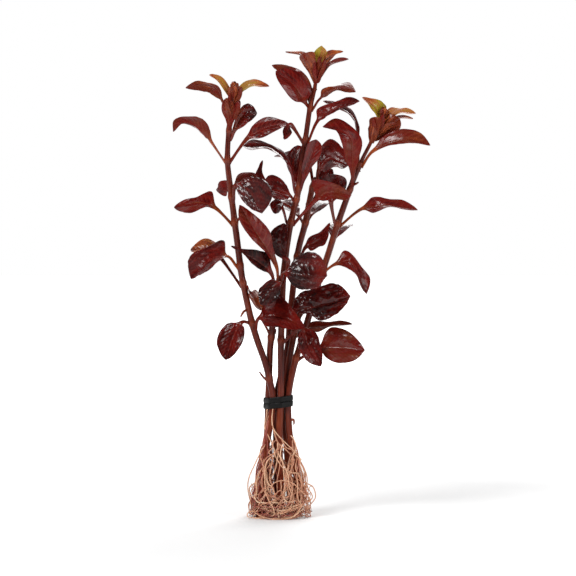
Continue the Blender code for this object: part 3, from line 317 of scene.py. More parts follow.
# Each grown leaf, on the stem that its name starts with: the height of its node, the midrib from
# the blade's base to its tip, its two margins, or for a plain blade its width, the way its upper
# side faces, and what sets its looks apart. A margin is three (x, z) points beside the midrib at
# MARGIN_SHARES of its length; their depth follows from the way the blade faces.
LEAVES = {
    "left_1_left": (201, [(-38.5, -7.5, 207.5), (-44, -7, 213), (-56.7, -8, 214.2)],
        ([(-40, 213), (-46.5, 216), (-53, 216)], [(-40, 208.5), (-45, 212.5), (-52.5, 214)]),
        (0.1, 0.4, 1), dict(top=0.6, under=0.57, petiole=0.6)),
    "left_2_front": (194, [(-34.7, -10.8, 195), (-35.8, -12.8, 201.5), (-36.3, -12.6, 208.8)],
        ([(-36.5, 198), (-38.6, 202.5), (-38, 207)], [(-32.8, 197.5), (-32, 202.5), (-33.8, 207.3)]),
        (0, 1, 0.15), dict(under=0.46, top=0.45, veins=0.6, fold=0.35)),
    "left_2_right": (190, [(-32.3, -8.6, 193.5), (-28.5, -9.4, 200), (-21.3, -9.2, 201.5)],
        ([(-31.5, 199.5), (-28, 205.3), (-23.5, 204.8)], [(-30, 193.8), (-26.5, 196), (-23, 199)]),
        (0.2, -0.9, 0.3), dict(top=0.5, tip=0.12, crinkle=0.8, petiole=0.55, gloss=0.75)),
    "left_3_left": (178.5, [(-44, -7, 187.3), (-47.5, -6.5, 192.5), (-52, -6, 196.8), (-58, -6.8, 197.8),
        (-63, -8, 192.4)],
        ([(-45.8, 194.3), (-51.5, 199.2), (-62.3, 197.4)], [(-47, 189.6), (-52.5, 193.8), (-59.8, 196)]),
        (0.5, 0.6, 0.7), dict(top=0.3, under=0.5, petiole=0.66, tip_face=(0.1, 0.3, 0.9))),
    "left_3_right": (178.5, [(-25.7, -9.5, 189.4), (-16, -12, 195), (-6, -14, 196.2)],
        ([(-23.5, 194.5), (-17, 199.2), (-9.5, 197.8)], [(-20.5, 189), (-14.5, 191), (-8.8, 194.4)]),
        (0, -0.9, 0.4), dict(top=0.3, veins=0.9, crinkle=0.12)),
    "left_4_back": (160.5, [(-35.2, -3.2, 163.5), (-38.5, 1.5, 164), (-41.8, 8, 164.3)],
        ([(-36, 167.3), (-39, 167.2), (-41.2, 166.3)], [(-35.8, 160.2), (-38.8, 160.8), (-41.3, 162.5)]),
        (0, -0.75, 0.65), dict(top=0.3)),
    "left_4_arch": (161.5, [(-31.8, -3, 166), (-27, 1, 169.8), (-20, 5, 167.5)],
        ([(-31, 170.5), (-26, 172.3), (-21.5, 170.3)], [(-29.5, 166), (-25, 167), (-20.5, 166.5)]),
        (0.1, -0.6, 0.8), dict(top=0.54, crinkle=0.12)),
    "left_4_front": (159, [(-31.8, -10.5, 166), (-24, -18, 162.5), (-18.7, -27, 152)],
        ([(-27.5, 168.5), (-18, 168), (-14.3, 158.5)], [(-31, 162.8), (-28, 157), (-22.8, 153.2)]),
        (0.25, -0.75, 0.6), dict(top=0.24, crinkle=0.45, puff=0.25, cup=8, gloss=0.85, fold=0.4)),
    "left_5_left": (147.5, [(-42.3, -8, 154.8), (-50.5, -8.5, 157.8), (-62.5, -9, 154.8)],
        ([(-43.8, 162), (-51.5, 159.2), (-59, 157.6)], [(-46, 154.8), (-54, 152), (-60, 152.8)]),
        (-0.1, -0.75, 0.65), dict(top=0.34, rib=0.68, petiole=0.68)),
    "left_6_left": (126, [(-36.3, -8, 130.8), (-45, -11, 130), (-54, -15, 119.6)],
        ([(-37.5, 137.5), (-46.5, 134), (-55.5, 127.8)], [(-39.5, 128), (-45.5, 123.2), (-50.5, 120.3)]),
        (-0.2, -0.6, 0.8), dict(top=0.34, petiole=0.7, crinkle=0.4, fold=0.3)),
    "left_7_left": (117, [(-39.5, 0, 129.5), (-45.5, 4, 135), (-55, 6, 133.6)],
        ([(-41.5, 135.5), (-47, 138), (-52.5, 136)], [(-42.5, 129.5), (-49, 131), (-53.8, 132)]),
        (0, -0.5, 0.85), dict(top=0.66, under=0.66, crinkle=0.1)),
    "left_7_right": (116, [(-25.3, -7.5, 113.5), (-22.3, -11.5, 110), (-19, -13.5, 104)],
        ([(-25.2, 112), (-24, 108.5), (-21.3, 105)], [(-23.3, 113.5), (-20.3, 110.8), (-18.5, 107)]),
        (0.75, -0.25, 0.6), dict(top=0.6, under=0.6)),
    "left_8_left": (97.5, [(-29.5, -7, 97.3), (-33.8, -9.5, 90), (-37, -10.5, 79.2)],
        ([(-35.5, 97.2), (-40.7, 90), (-39.6, 82.5)], [(-27.7, 95), (-28.6, 88), (-33.3, 81.2)]),
        (-0.3, -0.9, 0.3), dict(top=0.32, puff=0.25, crinkle=0.3, gloss=0.5, fold=0.35)),
    "left_9_right": (94, [(-20.3, -10, 100), (-10.5, -15, 102.3), (2.3, -18, 95.7)],
        ([(-17.3, 107.5), (-11, 111.3), (-2, 101.5)], [(-17.5, 96.6), (-11, 95.3), (-2.5, 94.7)]),
        (0, -0.8, 0.6), dict(top=0.34, under=0.45, fold=0.1)),
    "middle_2_left": (205, [(2.6, -4.8, 207), (-2.5, -7.5, 215.5), (-12, -8.5, 222.3)],
        ([(5.8, 212), (1, 219.5), (-6.5, 223.5)], [(-2.5, 207.3), (-8, 213), (-11.7, 219)]),
        (0.3, -0.95, 0.2), dict(top=0.4, petiole=0.5, crinkle=0.12)),
    "middle_2_back": (206, [(4.6, 1.5, 209), (1, 4, 218.5), (-14, 5, 226)],
        ([(5.8, 214.5), (1.5, 221.8), (-8.5, 226.2)], [(1, 210), (-4.5, 217.5), (-11.5, 223)]),
        (-0.3, -0.85, 0.4), dict(top=0.5, tip_face=(-0.5, -0.4, 0.9))),
    "middle_2_right": (204.5, [(10, -2.5, 209), (17.5, -4.5, 214), (27.6, -6, 212.3)],
        ([(11, 213), (18.5, 215.3), (25, 216.3)], [(12.8, 210.3), (18, 213), (24.8, 213)]),
        (0.1, -0.4, 0.95), dict(top=0.64, tip=0.45, under=0.5)),
    "middle_3_left": (188, [(-4.5, -6.5, 195.7), (-6.5, -9, 193.5), (-7.8, -11, 188.4)],
        ([(-6.8, 196), (-8.2, 193), (-8.2, 190)], [(-5, 194.3), (-4.2, 191.8), (-6, 189)]),
        (-0.4, -0.8, 0.4), dict(top=0.3)),
    "middle_3_right": (188.5, [(8.5, -3.8, 197.5), (15, -6.5, 203.5), (29.3, -9, 207.5)],
        ([(8.8, 203), (16.5, 206.4), (25.5, 209.2)], [(12, 198.8), (19, 202.6), (25.5, 205.3)]),
        (-0.15, -0.6, 0.8), dict(top=0.32, crinkle=0.4, petiole=0.5)),
    "middle_4_left": (163.5, [(-5.5, -4.2, 176.3), (-15, -4.5, 185), (-28.2, -5, 185.3)],
        ([(-8, 182), (-15.5, 186), (-24.5, 187.9)], [(-8.5, 178.8), (-16, 183.8), (-25, 183)]),
        (0, -0.5, 0.85), dict(top=0.26, petiole=0.35, rib=0.3, under=0.42, gloss=0.7)),
    "middle_4_upright": (165.5, [(2, -5.4, 169.5), (5, -7, 178), (8, -7, 188.5)],
        ([(0.8, 173), (2.2, 180), (4.3, 186.8)], [(5.5, 174.5), (9.3, 179.5), (10.3, 186)]),
        (0.25, -0.95, -0.1), dict(top=0.34, petiole=0.4, gloss=0.65)),
    "middle_4_back": (166, [(-2.3, 1.2, 169), (-3.2, 4.5, 177), (-1, 8, 186)],
        ([(-4.5, 171), (-6.8, 177.5), (-4.5, 183.5)], [(0, 171), (2, 178), (2.5, 185)]),
        (0.1, -0.9, 0.4), dict(top=0.34, petiole=0.4)),
    "middle_5_left": (158.5, [(-4.8, -4.6, 160.5), (-10.5, -8, 164.3), (-18.5, -10.5, 165.5)],
        ([(-6.5, 165), (-11.5, 169.3), (-16.5, 169.6)], [(-7, 158.2), (-11.5, 158.8), (-16.5, 161)]),
        (0.15, -0.7, 0.7), dict(top=0.32, crinkle=0.35)),
    "middle_5_curled": (155, [(-9, -5.5, 157.3), (-12, -7.5, 156.5), (-12.3, -8.5, 151.6)],
        ([(-11.5, 158.5), (-14, 156.5), (-13.6, 153)], [(-9, 155.5), (-9, 154), (-10.5, 152)]),
        (-0.5, -0.6, 0.6), dict(top=0.26, crinkle=0.5)),
    "middle_6_left": (147.5, [(-9.5, -1, 156), (-18, 1, 167), (-18.7, 2, 178.3)],
        ([(-14, 163), (-21.8, 169.5), (-20.7, 175)], [(-11, 161.5), (-16, 166), (-19, 173.5)]),
        (0.6, -0.7, 0.4), dict(top=0.3, petiole=0.45)),
    "middle_6_right": (147.5, [(8.3, -8, 159), (14.5, -10.5, 162.8), (25.3, -12, 160.8)],
        ([(6.5, 167), (13.5, 167.3), (22.5, 163.3)], [(12, 158.1), (16.5, 158.6), (23, 158.5)]),
        (0, -0.95, 0.3), dict(top=0.47, crinkle=0.14, petiole=0.45, curl=16)),
    "middle_8_right": (88.5, [(1, -9.5, 95), (4.6, -14, 86.5), (10.2, -15.5, 76.3)],
        ([(-0.8, 91.5), (-0.8, 85), (4.5, 78.3)], [(7, 93), (9.9, 86.5), (10.8, 79.5)]),
        (0.25, -0.9, 0.35), dict(top=0.34, crinkle=0.35, gloss=0.6, fold=0.3)),
    "back_1_right": (168, [(9.5, 4.8, 173.5), (14.5, 2.5, 180.5), (24.3, -1.5, 175.8)],
        ([(9.3, 181), (15.5, 188.3), (22.8, 181)], [(12, 172.5), (17, 174), (21.5, 174)]),
        (0.1, -0.7, 0.7), dict(top=0.36, crinkle=0.22, gloss=0.55)),
    "back_1_left": (168.5, [(4.5, 12.5, 176), (-2, 19, 182), (-13, 26, 181)], 11, (0, -0.3, 1),
        dict(top=0.26)),
    "back_2_right": (158, [(9.5, 12, 163), (13, 13, 170), (16.5, 12.5, 174)], 9, (0.3, -0.85, 0.4),
        dict(top=0.3)),
    "back_3_right": (147, [(5.5, 14, 151), (9, 22, 156.5), (13, 33, 157)], 12, (0, -0.3, 1),
        dict(top=0.24)),
    "back_3_left": (147, [(-1, 14, 151), (-7, 22, 156.5), (-16, 32, 156)], 12, (0, -0.3, 1),
        dict(top=0.28)),
    "back_5_right": (130.5, [(3, 5.5, 135), (9, 6, 138.5), (14.5, 7.5, 142)],
        ([(4.5, 139), (10, 142.2), (15.5, 146)], [(5, 133.2), (9.5, 134.7), (13, 137)]),
        (-0.3, -0.8, 0.5), dict(top=0.38, under=0.5)),
    "right_2_left": (167, [(26.2, -3, 172), (26, -5, 183), (24.5, -6.5, 191), (11.2, -8, 194.8)],
        ([(22.8, 178.5), (20.6, 187), (16.5, 193.7)], [(29, 179), (30, 189.5), (17.5, 198.8)]),
        (0.1, -0.95, 0.3), dict(top=0.4, petiole=0.5, crinkle=0.1, fold=0.12)),
    "right_2_right": (176.5, [(37, -5, 183.4), (50, -9.5, 188.3), (64.3, -11, 185.6)],
        ([(41, 189.3), (50.5, 193.5), (60.5, 190.5)], [(42.5, 185.2), (51, 186), (60, 186.3)]),
        (0, -0.8, 0.6), dict(top=0.5, petiole=0.68, veins=0.9)),
    "right_3_left": (175.5, [(29, 4.5, 191), (26, 6, 201.5), (11.7, 7, 208.2)],
        ([(29.5, 196), (25.3, 203.7), (16, 208)], [(28.2, 195.5), (23, 203), (15.5, 205.5)]),
        (0.5, -0.4, 0.7), dict(top=0.3, under=0.4)),
    "right_4_left": (147.5, [(15.5, -0.5, 157.5), (16.5, -1.5, 165), (14, -3, 171.5)],
        ([(12, 160.5), (10, 166), (10, 170)], [(20, 160.5), (23, 165.5), (20.5, 170.5)]),
        (0, -0.85, 0.5), dict(top=0.16, crinkle=0.3, gloss=0.7, fold=0.4)),
    "right_4_right": (146.5, [(31, 0, 154.2), (42.5, -2, 156.5), (58.5, -4, 153.6)],
        ([(36, 159), (45, 158.9), (53.5, 157)], [(36, 152.2), (44.5, 154.6), (53, 153.6)]),
        (0, -0.65, 0.75), dict(top=0.42, rib=0.66, petiole=0.68)),
    "right_5_back": (134, [(17, 8.5, 139), (20, 18, 145.5), (24, 31, 145)], 12, (0, -0.3, 1),
        dict(top=0.3)),
    "right_6_right": (124, [(18, -1.5, 126.7), (25, -3.5, 128.6), (29.6, -4.5, 121.5), (33.2, -5, 111.8)],
        ([(22.5, 132.8), (31.2, 124.4), (34.6, 117.4)], [(22, 125.2), (27.2, 121.8), (30.6, 114.8)]),
        (0, -0.75, 0.65), dict(top=0.36, petiole=0.66, tip_face=(0.7, -0.6, 0.3))),
    "right_8_right": (79.5, [(9.5, -4, 84.3), (20, -9, 86), (32, -13, 84.2)],
        ([(13.5, 92.7), (20.5, 94.2), (28.5, 89)], [(13.3, 80), (20.5, 77.3), (28.5, 80)]),
        (0.05, -0.9, 0.4), dict(top=0.46, crinkle=0.14, rib=0.55, gloss=0.7, fold=0.1)),
    "front_1_up": (119, [(-12, -13, 126.5), (-19, -18.5, 139.5), (-29.7, -21, 156)],
        ([(-16.5, 132), (-24.3, 140), (-30.3, 150)], [(-13.3, 134), (-15.6, 143), (-24.5, 152.5)]),
        (0.4, -0.85, 0.3), dict(top=0.44, rib=0.68, petiole=0.66, veins=0.9)),
    "front_1_left": (116.4, [(-14.8, -11.4, 123), (-21.5, -15.6, 129), (-34, -18, 135.8)],
        ([(-15.3, 130.3), (-20.5, 133.4), (-29.5, 134.5)], [(-18.5, 123.6), (-23.5, 127), (-29, 132.6)]),
        (-0.2, -0.85, 0.5), dict(top=0.14, crinkle=0.35)),
    "front_1_right": (118.5, [(-7.6, -13.2, 122.6), (2.8, -20.5, 123), (13, -28, 121.5)],
        ([(-3.3, 127.6), (4.2, 132.2), (11.5, 127.8)], [(-4.2, 117.2), (2.5, 113.6), (9.5, 116)]),
        (0.1, -0.75, 0.65), dict(top=0.12, tip=0.4, crinkle=0.6, puff=0.3, fold=0.45, gloss=0.85)),
    "front_1_down": (113.5, [(-10.3, -13.4, 118), (-15, -18, 114.3), (-19.3, -22, 107)],
        ([(-13.6, 119), (-19.3, 114.6), (-20.3, 110)], [(-9.6, 114.3), (-12, 109.7), (-16, 106.8)]),
        (-0.25, -0.7, 0.6), dict(top=0.18, crinkle=0.5, gloss=0.7)),
    "front_2_up": (118.4, [(-5.9, -7.4, 128), (-10, -9.8, 137), (-8, -8.5, 147)],
        ([(-12.3, 132), (-14.5, 138), (-13, 144)], [(-7, 131), (-6.5, 138), (-6.3, 145)]),
        (-0.3, -0.9, 0.2), dict(top=0.22, crinkle=0.5, gloss=0.6)),
    "low_1_front": (101.5, [(-4.5, -4.5, 103), (8.5, -8.5, 106.5), (24.8, -13, 111)],
        ([(-1.5, 110), (8, 114.2), (19.8, 116)], [(3.5, 102), (11.3, 98.4), (21.6, 105)]),
        (-0.1, -0.85, 0.5), dict(top=0.18, crinkle=0.8, puff=0.35, tip=0.36, fold=0.5, gloss=0.85)),
    "low_1_back": (101.5, [(4.5, 8, 103), (12, 18, 108), (20, 30, 108)], 12, (0, -0.3, 1), dict(top=0.3)),
    "low_2_right": (91.5, [(2.5, 4.5, 94.8), (14, 1.5, 96.3), (26, -3, 96.7)],
        ([(7, 97), (14.5, 97.5), (22.5, 97.6)], [(7.5, 92.5), (14.5, 94.8), (21.5, 96)]),
        (0, -0.6, 0.8), dict(top=0.5, under=0.5)),
}

# Each shoot tip: its line, the tint of its bud, its young leaves by midrib, margins or width, the
# upper side's way and looks, and its small inner leaves by midrib, width, way and tint
SHOOT_TIPS = {
    "left": {
        "line": [(-33.7, -8, 203.6), (-33.2, -8, 208), (-32.5, -8, 213.5)],
        "bud": 0.62,
        "leaves": [
            ([(-33.8, -8.2, 209), (-38.5, -8.5, 216.5), (-44.8, -9, 220.5)],
             ([(-34.5, 213), (-37.8, 218), (-42, 220.6)], [(-36.5, 211), (-40, 216.5), (-43.3, 219)]),
             (0.3, -0.7, 0.6), dict(top=0.82, under=0.78)),
            ([(-32, -8.4, 209.5), (-25, -9.3, 216), (-15.3, -10, 214.8)],
             ([(-29.5, 215), (-24, 218.2), (-18, 216.4)], [(-29, 211.8), (-24, 213.9), (-18.3, 214.4)]),
             (-0.1, -0.6, 0.8), dict(top=0.97, tip=0.76, under=0.8)),
            ([(-33, -9, 205.5), (-32.3, -11, 210), (-31.8, -11.8, 214.8)],
             ([(-35, 208), (-35.7, 211.5), (-34.5, 214.3)], [(-30.5, 208), (-28.8, 211.5), (-29.3, 214.3)]),
             (0, 1, 0.3), dict(top=0.58, under=0.6, fold=0.3)),
            ([(-32.8, -7.4, 206), (-31.8, -3, 212), (-30.5, 3, 215)], 6, (0, -0.6, 0.8),
             dict(top=0.85, under=0.8)),
        ],
        "inner": [
            ([(-33.3, -9.6, 198.5), (-32, -12.2, 203), (-29.6, -13, 207.4)], 3.6, (0.4, 1, 0.1), 0.36),
            ([(-33.6, -9.8, 202), (-34.8, -12, 206), (-34.6, -12.6, 211)], 2.6, (-0.4, 1, 0.2), 0.46),
            ([(-32.8, -10, 205), (-30.6, -12.2, 209), (-29, -12.6, 213.6)], 2.8, (0.5, 0.9, 0.2), 0.55),
            ([(-32.6, -9.4, 208), (-31.6, -12, 211), (-32.2, -13.5, 214.6)], 2.4, (0, 0.9, 0.5), 0.66),
            ([(-34.2, -11.8, 200), (-35.6, -13.5, 204), (-36.2, -14, 208.4)], 2.6, (-0.6, 0.8, 0.1), 0.58),
            ([(-32.6, -12.2, 198.5), (-31, -14, 203), (-30.4, -14.7, 206.8)], 2.8, (0.5, 0.85, 0.1), 0.5),
        ],
    },
    "tall": {
        "line": [(7.4, -1.4, 214.6), (8.3, -1.2, 221), (9.3, -1, 229)],
        "bud": 0.66,
        "leaves": [
            ([(7.7, -1.9, 217), (4.5, -4, 225), (1, -5, 231)],
             ([(7.5, 222.5), (7.5, 228), (5.5, 231.7)], [(4.5, 221.8), (1, 226), (-0.3, 229.5)]),
             (0.4, 0.8, 0.3), dict(top=0.62, under=0.62, fold=0.35, veins=0.8)),
            ([(8.6, -1.6, 217.8), (14.5, -3, 226), (24, -3.8, 228.6)],
             ([(10.5, 222.5), (14.5, 227.2), (21, 229.1)], [(11, 220.5), (15, 225), (20.5, 227.4)]),
             (-0.3, -0.5, 0.8), dict(top=0.5, under=0.46, gloss=0.7)),
            ([(8.9, -1, 225.2), (2, 0, 231), (-7.2, 1, 232.5)], 5, (0, -0.25, 1),
             dict(top=0.62, under=0.62)),
            ([(8.6, -0.7, 223.6), (14.5, 0.4, 230.6), (21.5, 1.5, 232.6)],
             ([(10.5, 229), (14, 232.7), (18, 232.9)], [(12, 225.5), (16, 228.5), (18.5, 231.5)]),
             (0, -0.7, 0.7), dict(top=0.66, under=0.6)),
            ([(9, -1.3, 226), (10.4, -4.2, 231), (10.6, -4.6, 235)],
             ([(7.4, 229.5), (7, 231.6), (8.8, 233.8)], [(12, 229.3), (13.3, 231.6), (12, 233.8)]),
             (0.1, -0.95, 0.3), dict(top=0.98, under=0.98, petiole=0.7, blunt=0.0, veins=1.0)),
            ([(8.5, -0.7, 221.5), (12, 5, 227.5), (15.5, 10, 229)], 7, (0, -0.4, 0.9),
             dict(top=0.8, under=0.7)),
        ],
        "inner": [
            ([(8.3, -2.4, 216.5), (7.6, -4.6, 221.5), (7.4, -5.6, 227.4)], 2.6, (-0.2, 0.9, 0.2), 0.42),
            ([(8.6, -2.4, 217.5), (10.6, -4.6, 222.5), (12.6, -5.4, 228)], 3.0, (0.4, 0.9, 0.2), 0.48),
            ([(8.8, -2.2, 221), (9.4, -4.8, 225), (9.6, -6.2, 229.6)], 2.4, (0, 0.9, 0.4), 0.56),
        ],
    },
    "right": {
        "line": [(30.9, 0.8, 178.3), (35, 0, 186.5), (39, -0.4, 195), (41.5, -0.6, 201)],
        "bud": 0.64,
        "leaves": [
            ([(40.2, -1, 197), (37.8, -2.5, 205), (31, -4, 209.5)],
             ([(37.5, 200.8), (35, 204), (32.7, 207)], [(43, 203.5), (40.5, 207), (35, 209.1)]),
             (0.3, -0.6, 0.7), dict(top=0.97, tip=0.76, under=0.8)),
            ([(41, -0.9, 197.5), (49, -2, 202.7), (57.5, -3, 201.7)],
             ([(44.5, 203.7), (50, 204.3), (54.8, 203.5)], [(45, 200.3), (50, 201.3), (54.5, 201.3)]),
             (0, -0.5, 0.85), dict(top=0.84, under=0.72)),
            ([(41, -0.2, 196), (49, 1, 199.9), (56.5, 2, 199.3)], 4, (0, -0.4, 0.9),
             dict(top=0.66, under=0.6)),
            ([(35.6, -0.6, 187), (36.5, -3.5, 193), (37.5, -4, 199.8)],
             ([(34.3, 190.5), (34.3, 195.5), (35, 199)], [(38, 189.5), (39.5, 194.5), (39.5, 199)]),
             (0.4, 0.85, 0.3), dict(top=0.56, under=0.57, fold=0.3)),
            ([(37, -0.4, 188.5), (43.5, -2.5, 194), (49.5, -4.5, 199)],
             ([(38.5, 193), (42, 198.5), (46, 201)], [(42.5, 188.5), (48.5, 191.8), (50.2, 196)]),
             (-0.1, -0.8, 0.55), dict(top=0.57, under=0.57, gloss=0.7)),
            ([(36.5, 0.6, 188.5), (38.5, 7, 195), (41, 14, 197)], 8, (0, -0.4, 0.9),
             dict(top=0.7, under=0.62)),
        ],
        "inner": [
            ([(37.6, -1.6, 190), (37.4, -4.4, 195), (36.2, -5.4, 199.6)], 2.8, (-0.3, 0.9, 0.2), 0.52),
            ([(38.6, -1.8, 191.5), (40, -4.6, 196.5), (41.4, -5.6, 201)], 3.4, (0.2, 0.9, 0.2), 0.46),
            ([(39.2, -1.8, 191), (44, -4.6, 195.5), (48, -6.4, 196.6)], 2.8, (0.1, 0.8, 0.6), 0.6),
        ],
    },
}

# The root skirt's radius about the bunch's axis at a few heights
SKIRT = [(0.0, 13.2), (6.0, 13.8), (15.0, 13.6), (25.0, 11.6), (40.0, 8.2), (54.0, 5.8)]

# Root bundles: name, stems they grow from, count, greatest height, way out from the axis in
# degrees, spread in radians, tone and curliness
ROOT_BUNCHES = [
    ("left_roots", ("left", "left", "front"), 50, 54, 200, 0.32, 0.13, 0.5),
    ("front_roots", ("middle", "left", "right"), 30, 40, 275, 1.0, 0.62, 1.3),
    ("right_roots", ("right", "right", "low"), 46, 42, -20, 0.65, 0.56, 0.85),
    ("back_roots", ("back", "low", "front"), 26, 38, 92, 0.8, 0.45, 0.9),
]

# Roots that stand out from the skirt, traced one by one
LOOSE_ROOTS = [
    [(-17, -4.5, 37), (-19.5, -6, 33), (-22.5, -7, 27), (-25.5, -7, 20), (-26, -6, 14), (-24.5, -5, 6),
     (-25, -4, 0.6)],
    [(-4.8, -3.4, 41), (-3, -5, 39), (-2, -6, 36), (-2.5, -6.5, 33), (-4, -7, 31)],
    [(-4, -3.8, 35), (-3, -6, 32), (-0.5, -7, 30), (0.6, -7, 28.8)],
    [(-2.8, -3.5, 31), (1, -6, 26), (3, -7, 22.5), (3.6, -7, 18.5), (3, -6, 14), (3.4, -6, 8),
     (4, -6, 0.6)],
    [(-1.5, -4, 19), (3.5, -5, 17), (6.5, -5, 15.2), (7.8, -5, 11), (6.5, -5, 8), (3.5, -6, 5), (0, -8, 2)],
    [(-1.5, -3, 17.5), (3, -4, 15.5), (5, -4, 13), (6.2, -4, 10), (4.5, -4, 7.5)],
    [(-22, -9, 3.5), (-25.5, -10, 3.2), (-26, -11, 1.2), (-22, -12, 0.5), (-17, -13, 0.5)],
    [(-24, -8, 4), (-20, -12, 1.8), (-15, -15, 0.6), (-10, -15.5, 0.5), (-5, -14, 0.5)],
    [(-13, -12, 5), (-8, -14, 4.4), (-3, -13, 6.5), (0, -11, 7.2)],
    [(-14, -12, 3), (-9, -14.5, 3.2), (-4, -13.5, 5.2), (1, -11, 6.4), (3.5, -8, 6)],
    [(-9, -14, 1), (-4, -15, 1.4), (0, -12, 4), (2.6, -8, 5.5)],
]

# Roots that cross in front, as (x, z) points on the skirt
FRONT_ROOTS = [
    [(-13.6, 54.5), (-14, 50), (-13.4, 45), (-10.5, 40.8), (-6.4, 36.8), (-2.3, 32.7), (0.7, 28.6)],
    [(-13.6, 46), (-13.1, 43.4), (-11, 37.8), (-6.4, 33.7), (-3.1, 29.1), (-4.4, 24.5), (-6.4, 19.4),
     (-8.5, 13.3), (-9.5, 7.7), (-12, 3)],
    [(-13.5, 39), (-13.8, 35.2), (-15.6, 32.7), (-13.6, 30.6), (-14.6, 24.5), (-15.1, 20), (-13, 15)],
    [(-12.6, 33), (-12, 30.6), (-8.5, 25.5), (-4.4, 23), (-1.3, 22.4), (1, 19)],
    [(-16.4, 54), (-17, 49), (-17.7, 44.9), (-15.6, 40.3), (-13.1, 35.2), (-12.4, 31)],
    [(-9.5, 40), (-7, 35.5), (-3, 33.5), (-1.5, 30), (-2.2, 25), (0.4, 18), (0.8, 10)],
    [(-8.8, 37), (-9.8, 32), (-8.2, 27.5), (-6, 22), (-5.4, 16), (-3.4, 10), (-6, 5), (-11, 3.4)],
    [(-18.5, 24), (-16, 18), (-13.5, 15.5), (-12.5, 10), (-15.5, 6), (-19, 5.4), (-20, 9), (-17, 12)],
    [(-9.5, 2.1), (-6.4, 4.1), (-1.8, 5.2), (-1.3, 3.1), (-4.4, 0.9), (-8.5, 0.9), (-10.2, 2.4), (-7, 5.4),
     (-2, 6.8)],
    [(-21.2, 8.7), (-18.2, 5.7), (-12, 3.1), (-6.4, 3.6), (-0.3, 5.7), (2.2, 9)],
    [(-19.5, 30), (-18, 24), (-19.4, 18), (-17.4, 13), (-14, 11.5), (-10, 14.5), (-8, 12), (-9, 8)],
    [(-5.6, 27), (-7.2, 21), (-4.4, 16), (-5.6, 11), (-2, 8.4), (0, 4)],
]


def between(table, key):
    """The value at key of a table of (key, value) pairs in rising order, by straight lines."""
    return float(np.interp(key, [row[0] for row in table], [row[1] for row in table]))


def smoothstep(low, high, value):
    """0 below low, 1 above high, and a smooth rise between."""
    share = np.clip((value - low) / (high - low), 0.0, 1.0)
    return share * share * (3 - 2 * share)


def bell(distance, half_width):
    """1 at no distance, and a smooth fall to nothing past the half width."""
    return np.exp(-(distance / half_width) ** 2)


def hermite(t, start, start_slope, end, end_slope):
    """A cubic from start to end as t goes from 0 to 1, with given slopes there."""
    return ((2 * t ** 3 - 3 * t ** 2 + 1) * start + (t ** 3 - 2 * t ** 2 + t) * start_slope
            + (3 * t ** 2 - 2 * t ** 3) * end + (t ** 3 - t ** 2) * end_slope)


def smooth_path(points, steps=PATH_STEPS):
    """Closely spaced points on a Catmull-Rom curve through the given ones."""
    points = [np.array(point, float) for point in points]
    ends = [points[0] * 2 - points[1]] + points + [points[-1] * 2 - points[-2]]
    path = []
    for before, start, end, after in zip(ends, ends[1:], ends[2:], ends[3:]):
        for step in range(steps):
            t = step / steps
            path.append(0.5 * (2 * start + (end - before) * t
                               + (2 * before - 5 * start + 4 * end - after) * t ** 2
                               + (3 * start - before - 3 * end + after) * t ** 3))
    path.append(points[-1])
    return np.array(path)


def lengths_along(path):
    """The distance along a path up to each of its points."""
    return np.concatenate([[0.0], np.cumsum(np.linalg.norm(np.diff(path, axis=0), axis=1))])


def points_at(path, distances, values=None):
    """Points of a path, or values given for its points, at distances along it."""
    travelled = lengths_along(path)
    values = path if values is None else values
    return np.stack([np.interp(distances, travelled, values[:, axis]) for axis in range(3)], axis=-1)


def unit(vectors):
    """Vectors made one long."""
    return vectors / np.maximum(np.linalg.norm(vectors, axis=-1, keepdims=True), 1e-9)


def tangents(path):
    """The direction of a path at each of its points."""
    return unit(np.gradient(path, axis=0))


def curve_through(knots, points, places):
    """Points at some places on a smooth curve that passes each given point at its knot."""
    knots, points = np.array(knots), np.array(points, float)
    slopes = np.gradient(points, knots, axis=0)
    index = np.clip(np.searchsorted(knots, places, side="right") - 1, 0, len(knots) - 2)
    span = (knots[index + 1] - knots[index])[:, None]
    t = (places - knots[index])[:, None] / span
    return hermite(t, points[index], span * slopes[index], points[index + 1], span * slopes[index + 1])


def stem_centre(stem, height):
    """The centre of a stem at a height, on a smooth line through its given points."""
    line = STEMS[stem]["line"]
    height = min(max(height, line[0][2]), line[-1][2])
    index = max(i for i in range(len(line) - 1) if line[i][2] <= height)
    low, high = line[index], line[index + 1]
    before = line[max(index - 1, 0)]
    after = line[min(index + 2, len(line) - 1)]
    span = high[2] - low[2]
    centre = []
    for axis in (0, 1):
        rise_low = (high[axis] - before[axis]) / (high[2] - before[2]) * span
        rise_high = (after[axis] - low[axis]) / (after[2] - low[2]) * span
        centre.append(hermite((height - low[2]) / span, low[axis], rise_low, high[axis], rise_high))
    return np.array([*centre, height])


def stem_radius(height):
    """A stem's radius between its nodes, which falls from foot to tip."""
    return between(STEM_RADII, height)


def uneven(points, scale, seed):
    """Smooth noise from -1 to 1 at each point, with bumps about 1/scale wide."""
    flat = points.reshape(-1, 3) * scale + seed
    values = [noise.noise(Vector(point)) for point in flat]
    return np.array(values).reshape(points.shape[:-1])


def loft_faces(rows, around, first, closed):
    """Faces between rings of points, with a cap at each end unless the rings close on themselves."""
    faces = []
    for row in range(rows if closed else rows - 1):
        low = first + row * around
        high = first + (row + 1) % rows * around
        for step in range(around):
            after = (step + 1) % around
            faces.append((low + step, low + after, high + after, high + step))
    if not closed:
        faces.append(tuple(first + step for step in reversed(range(around))))
        faces.append(tuple(first + (rows - 1) * around + step for step in range(around)))
    return faces


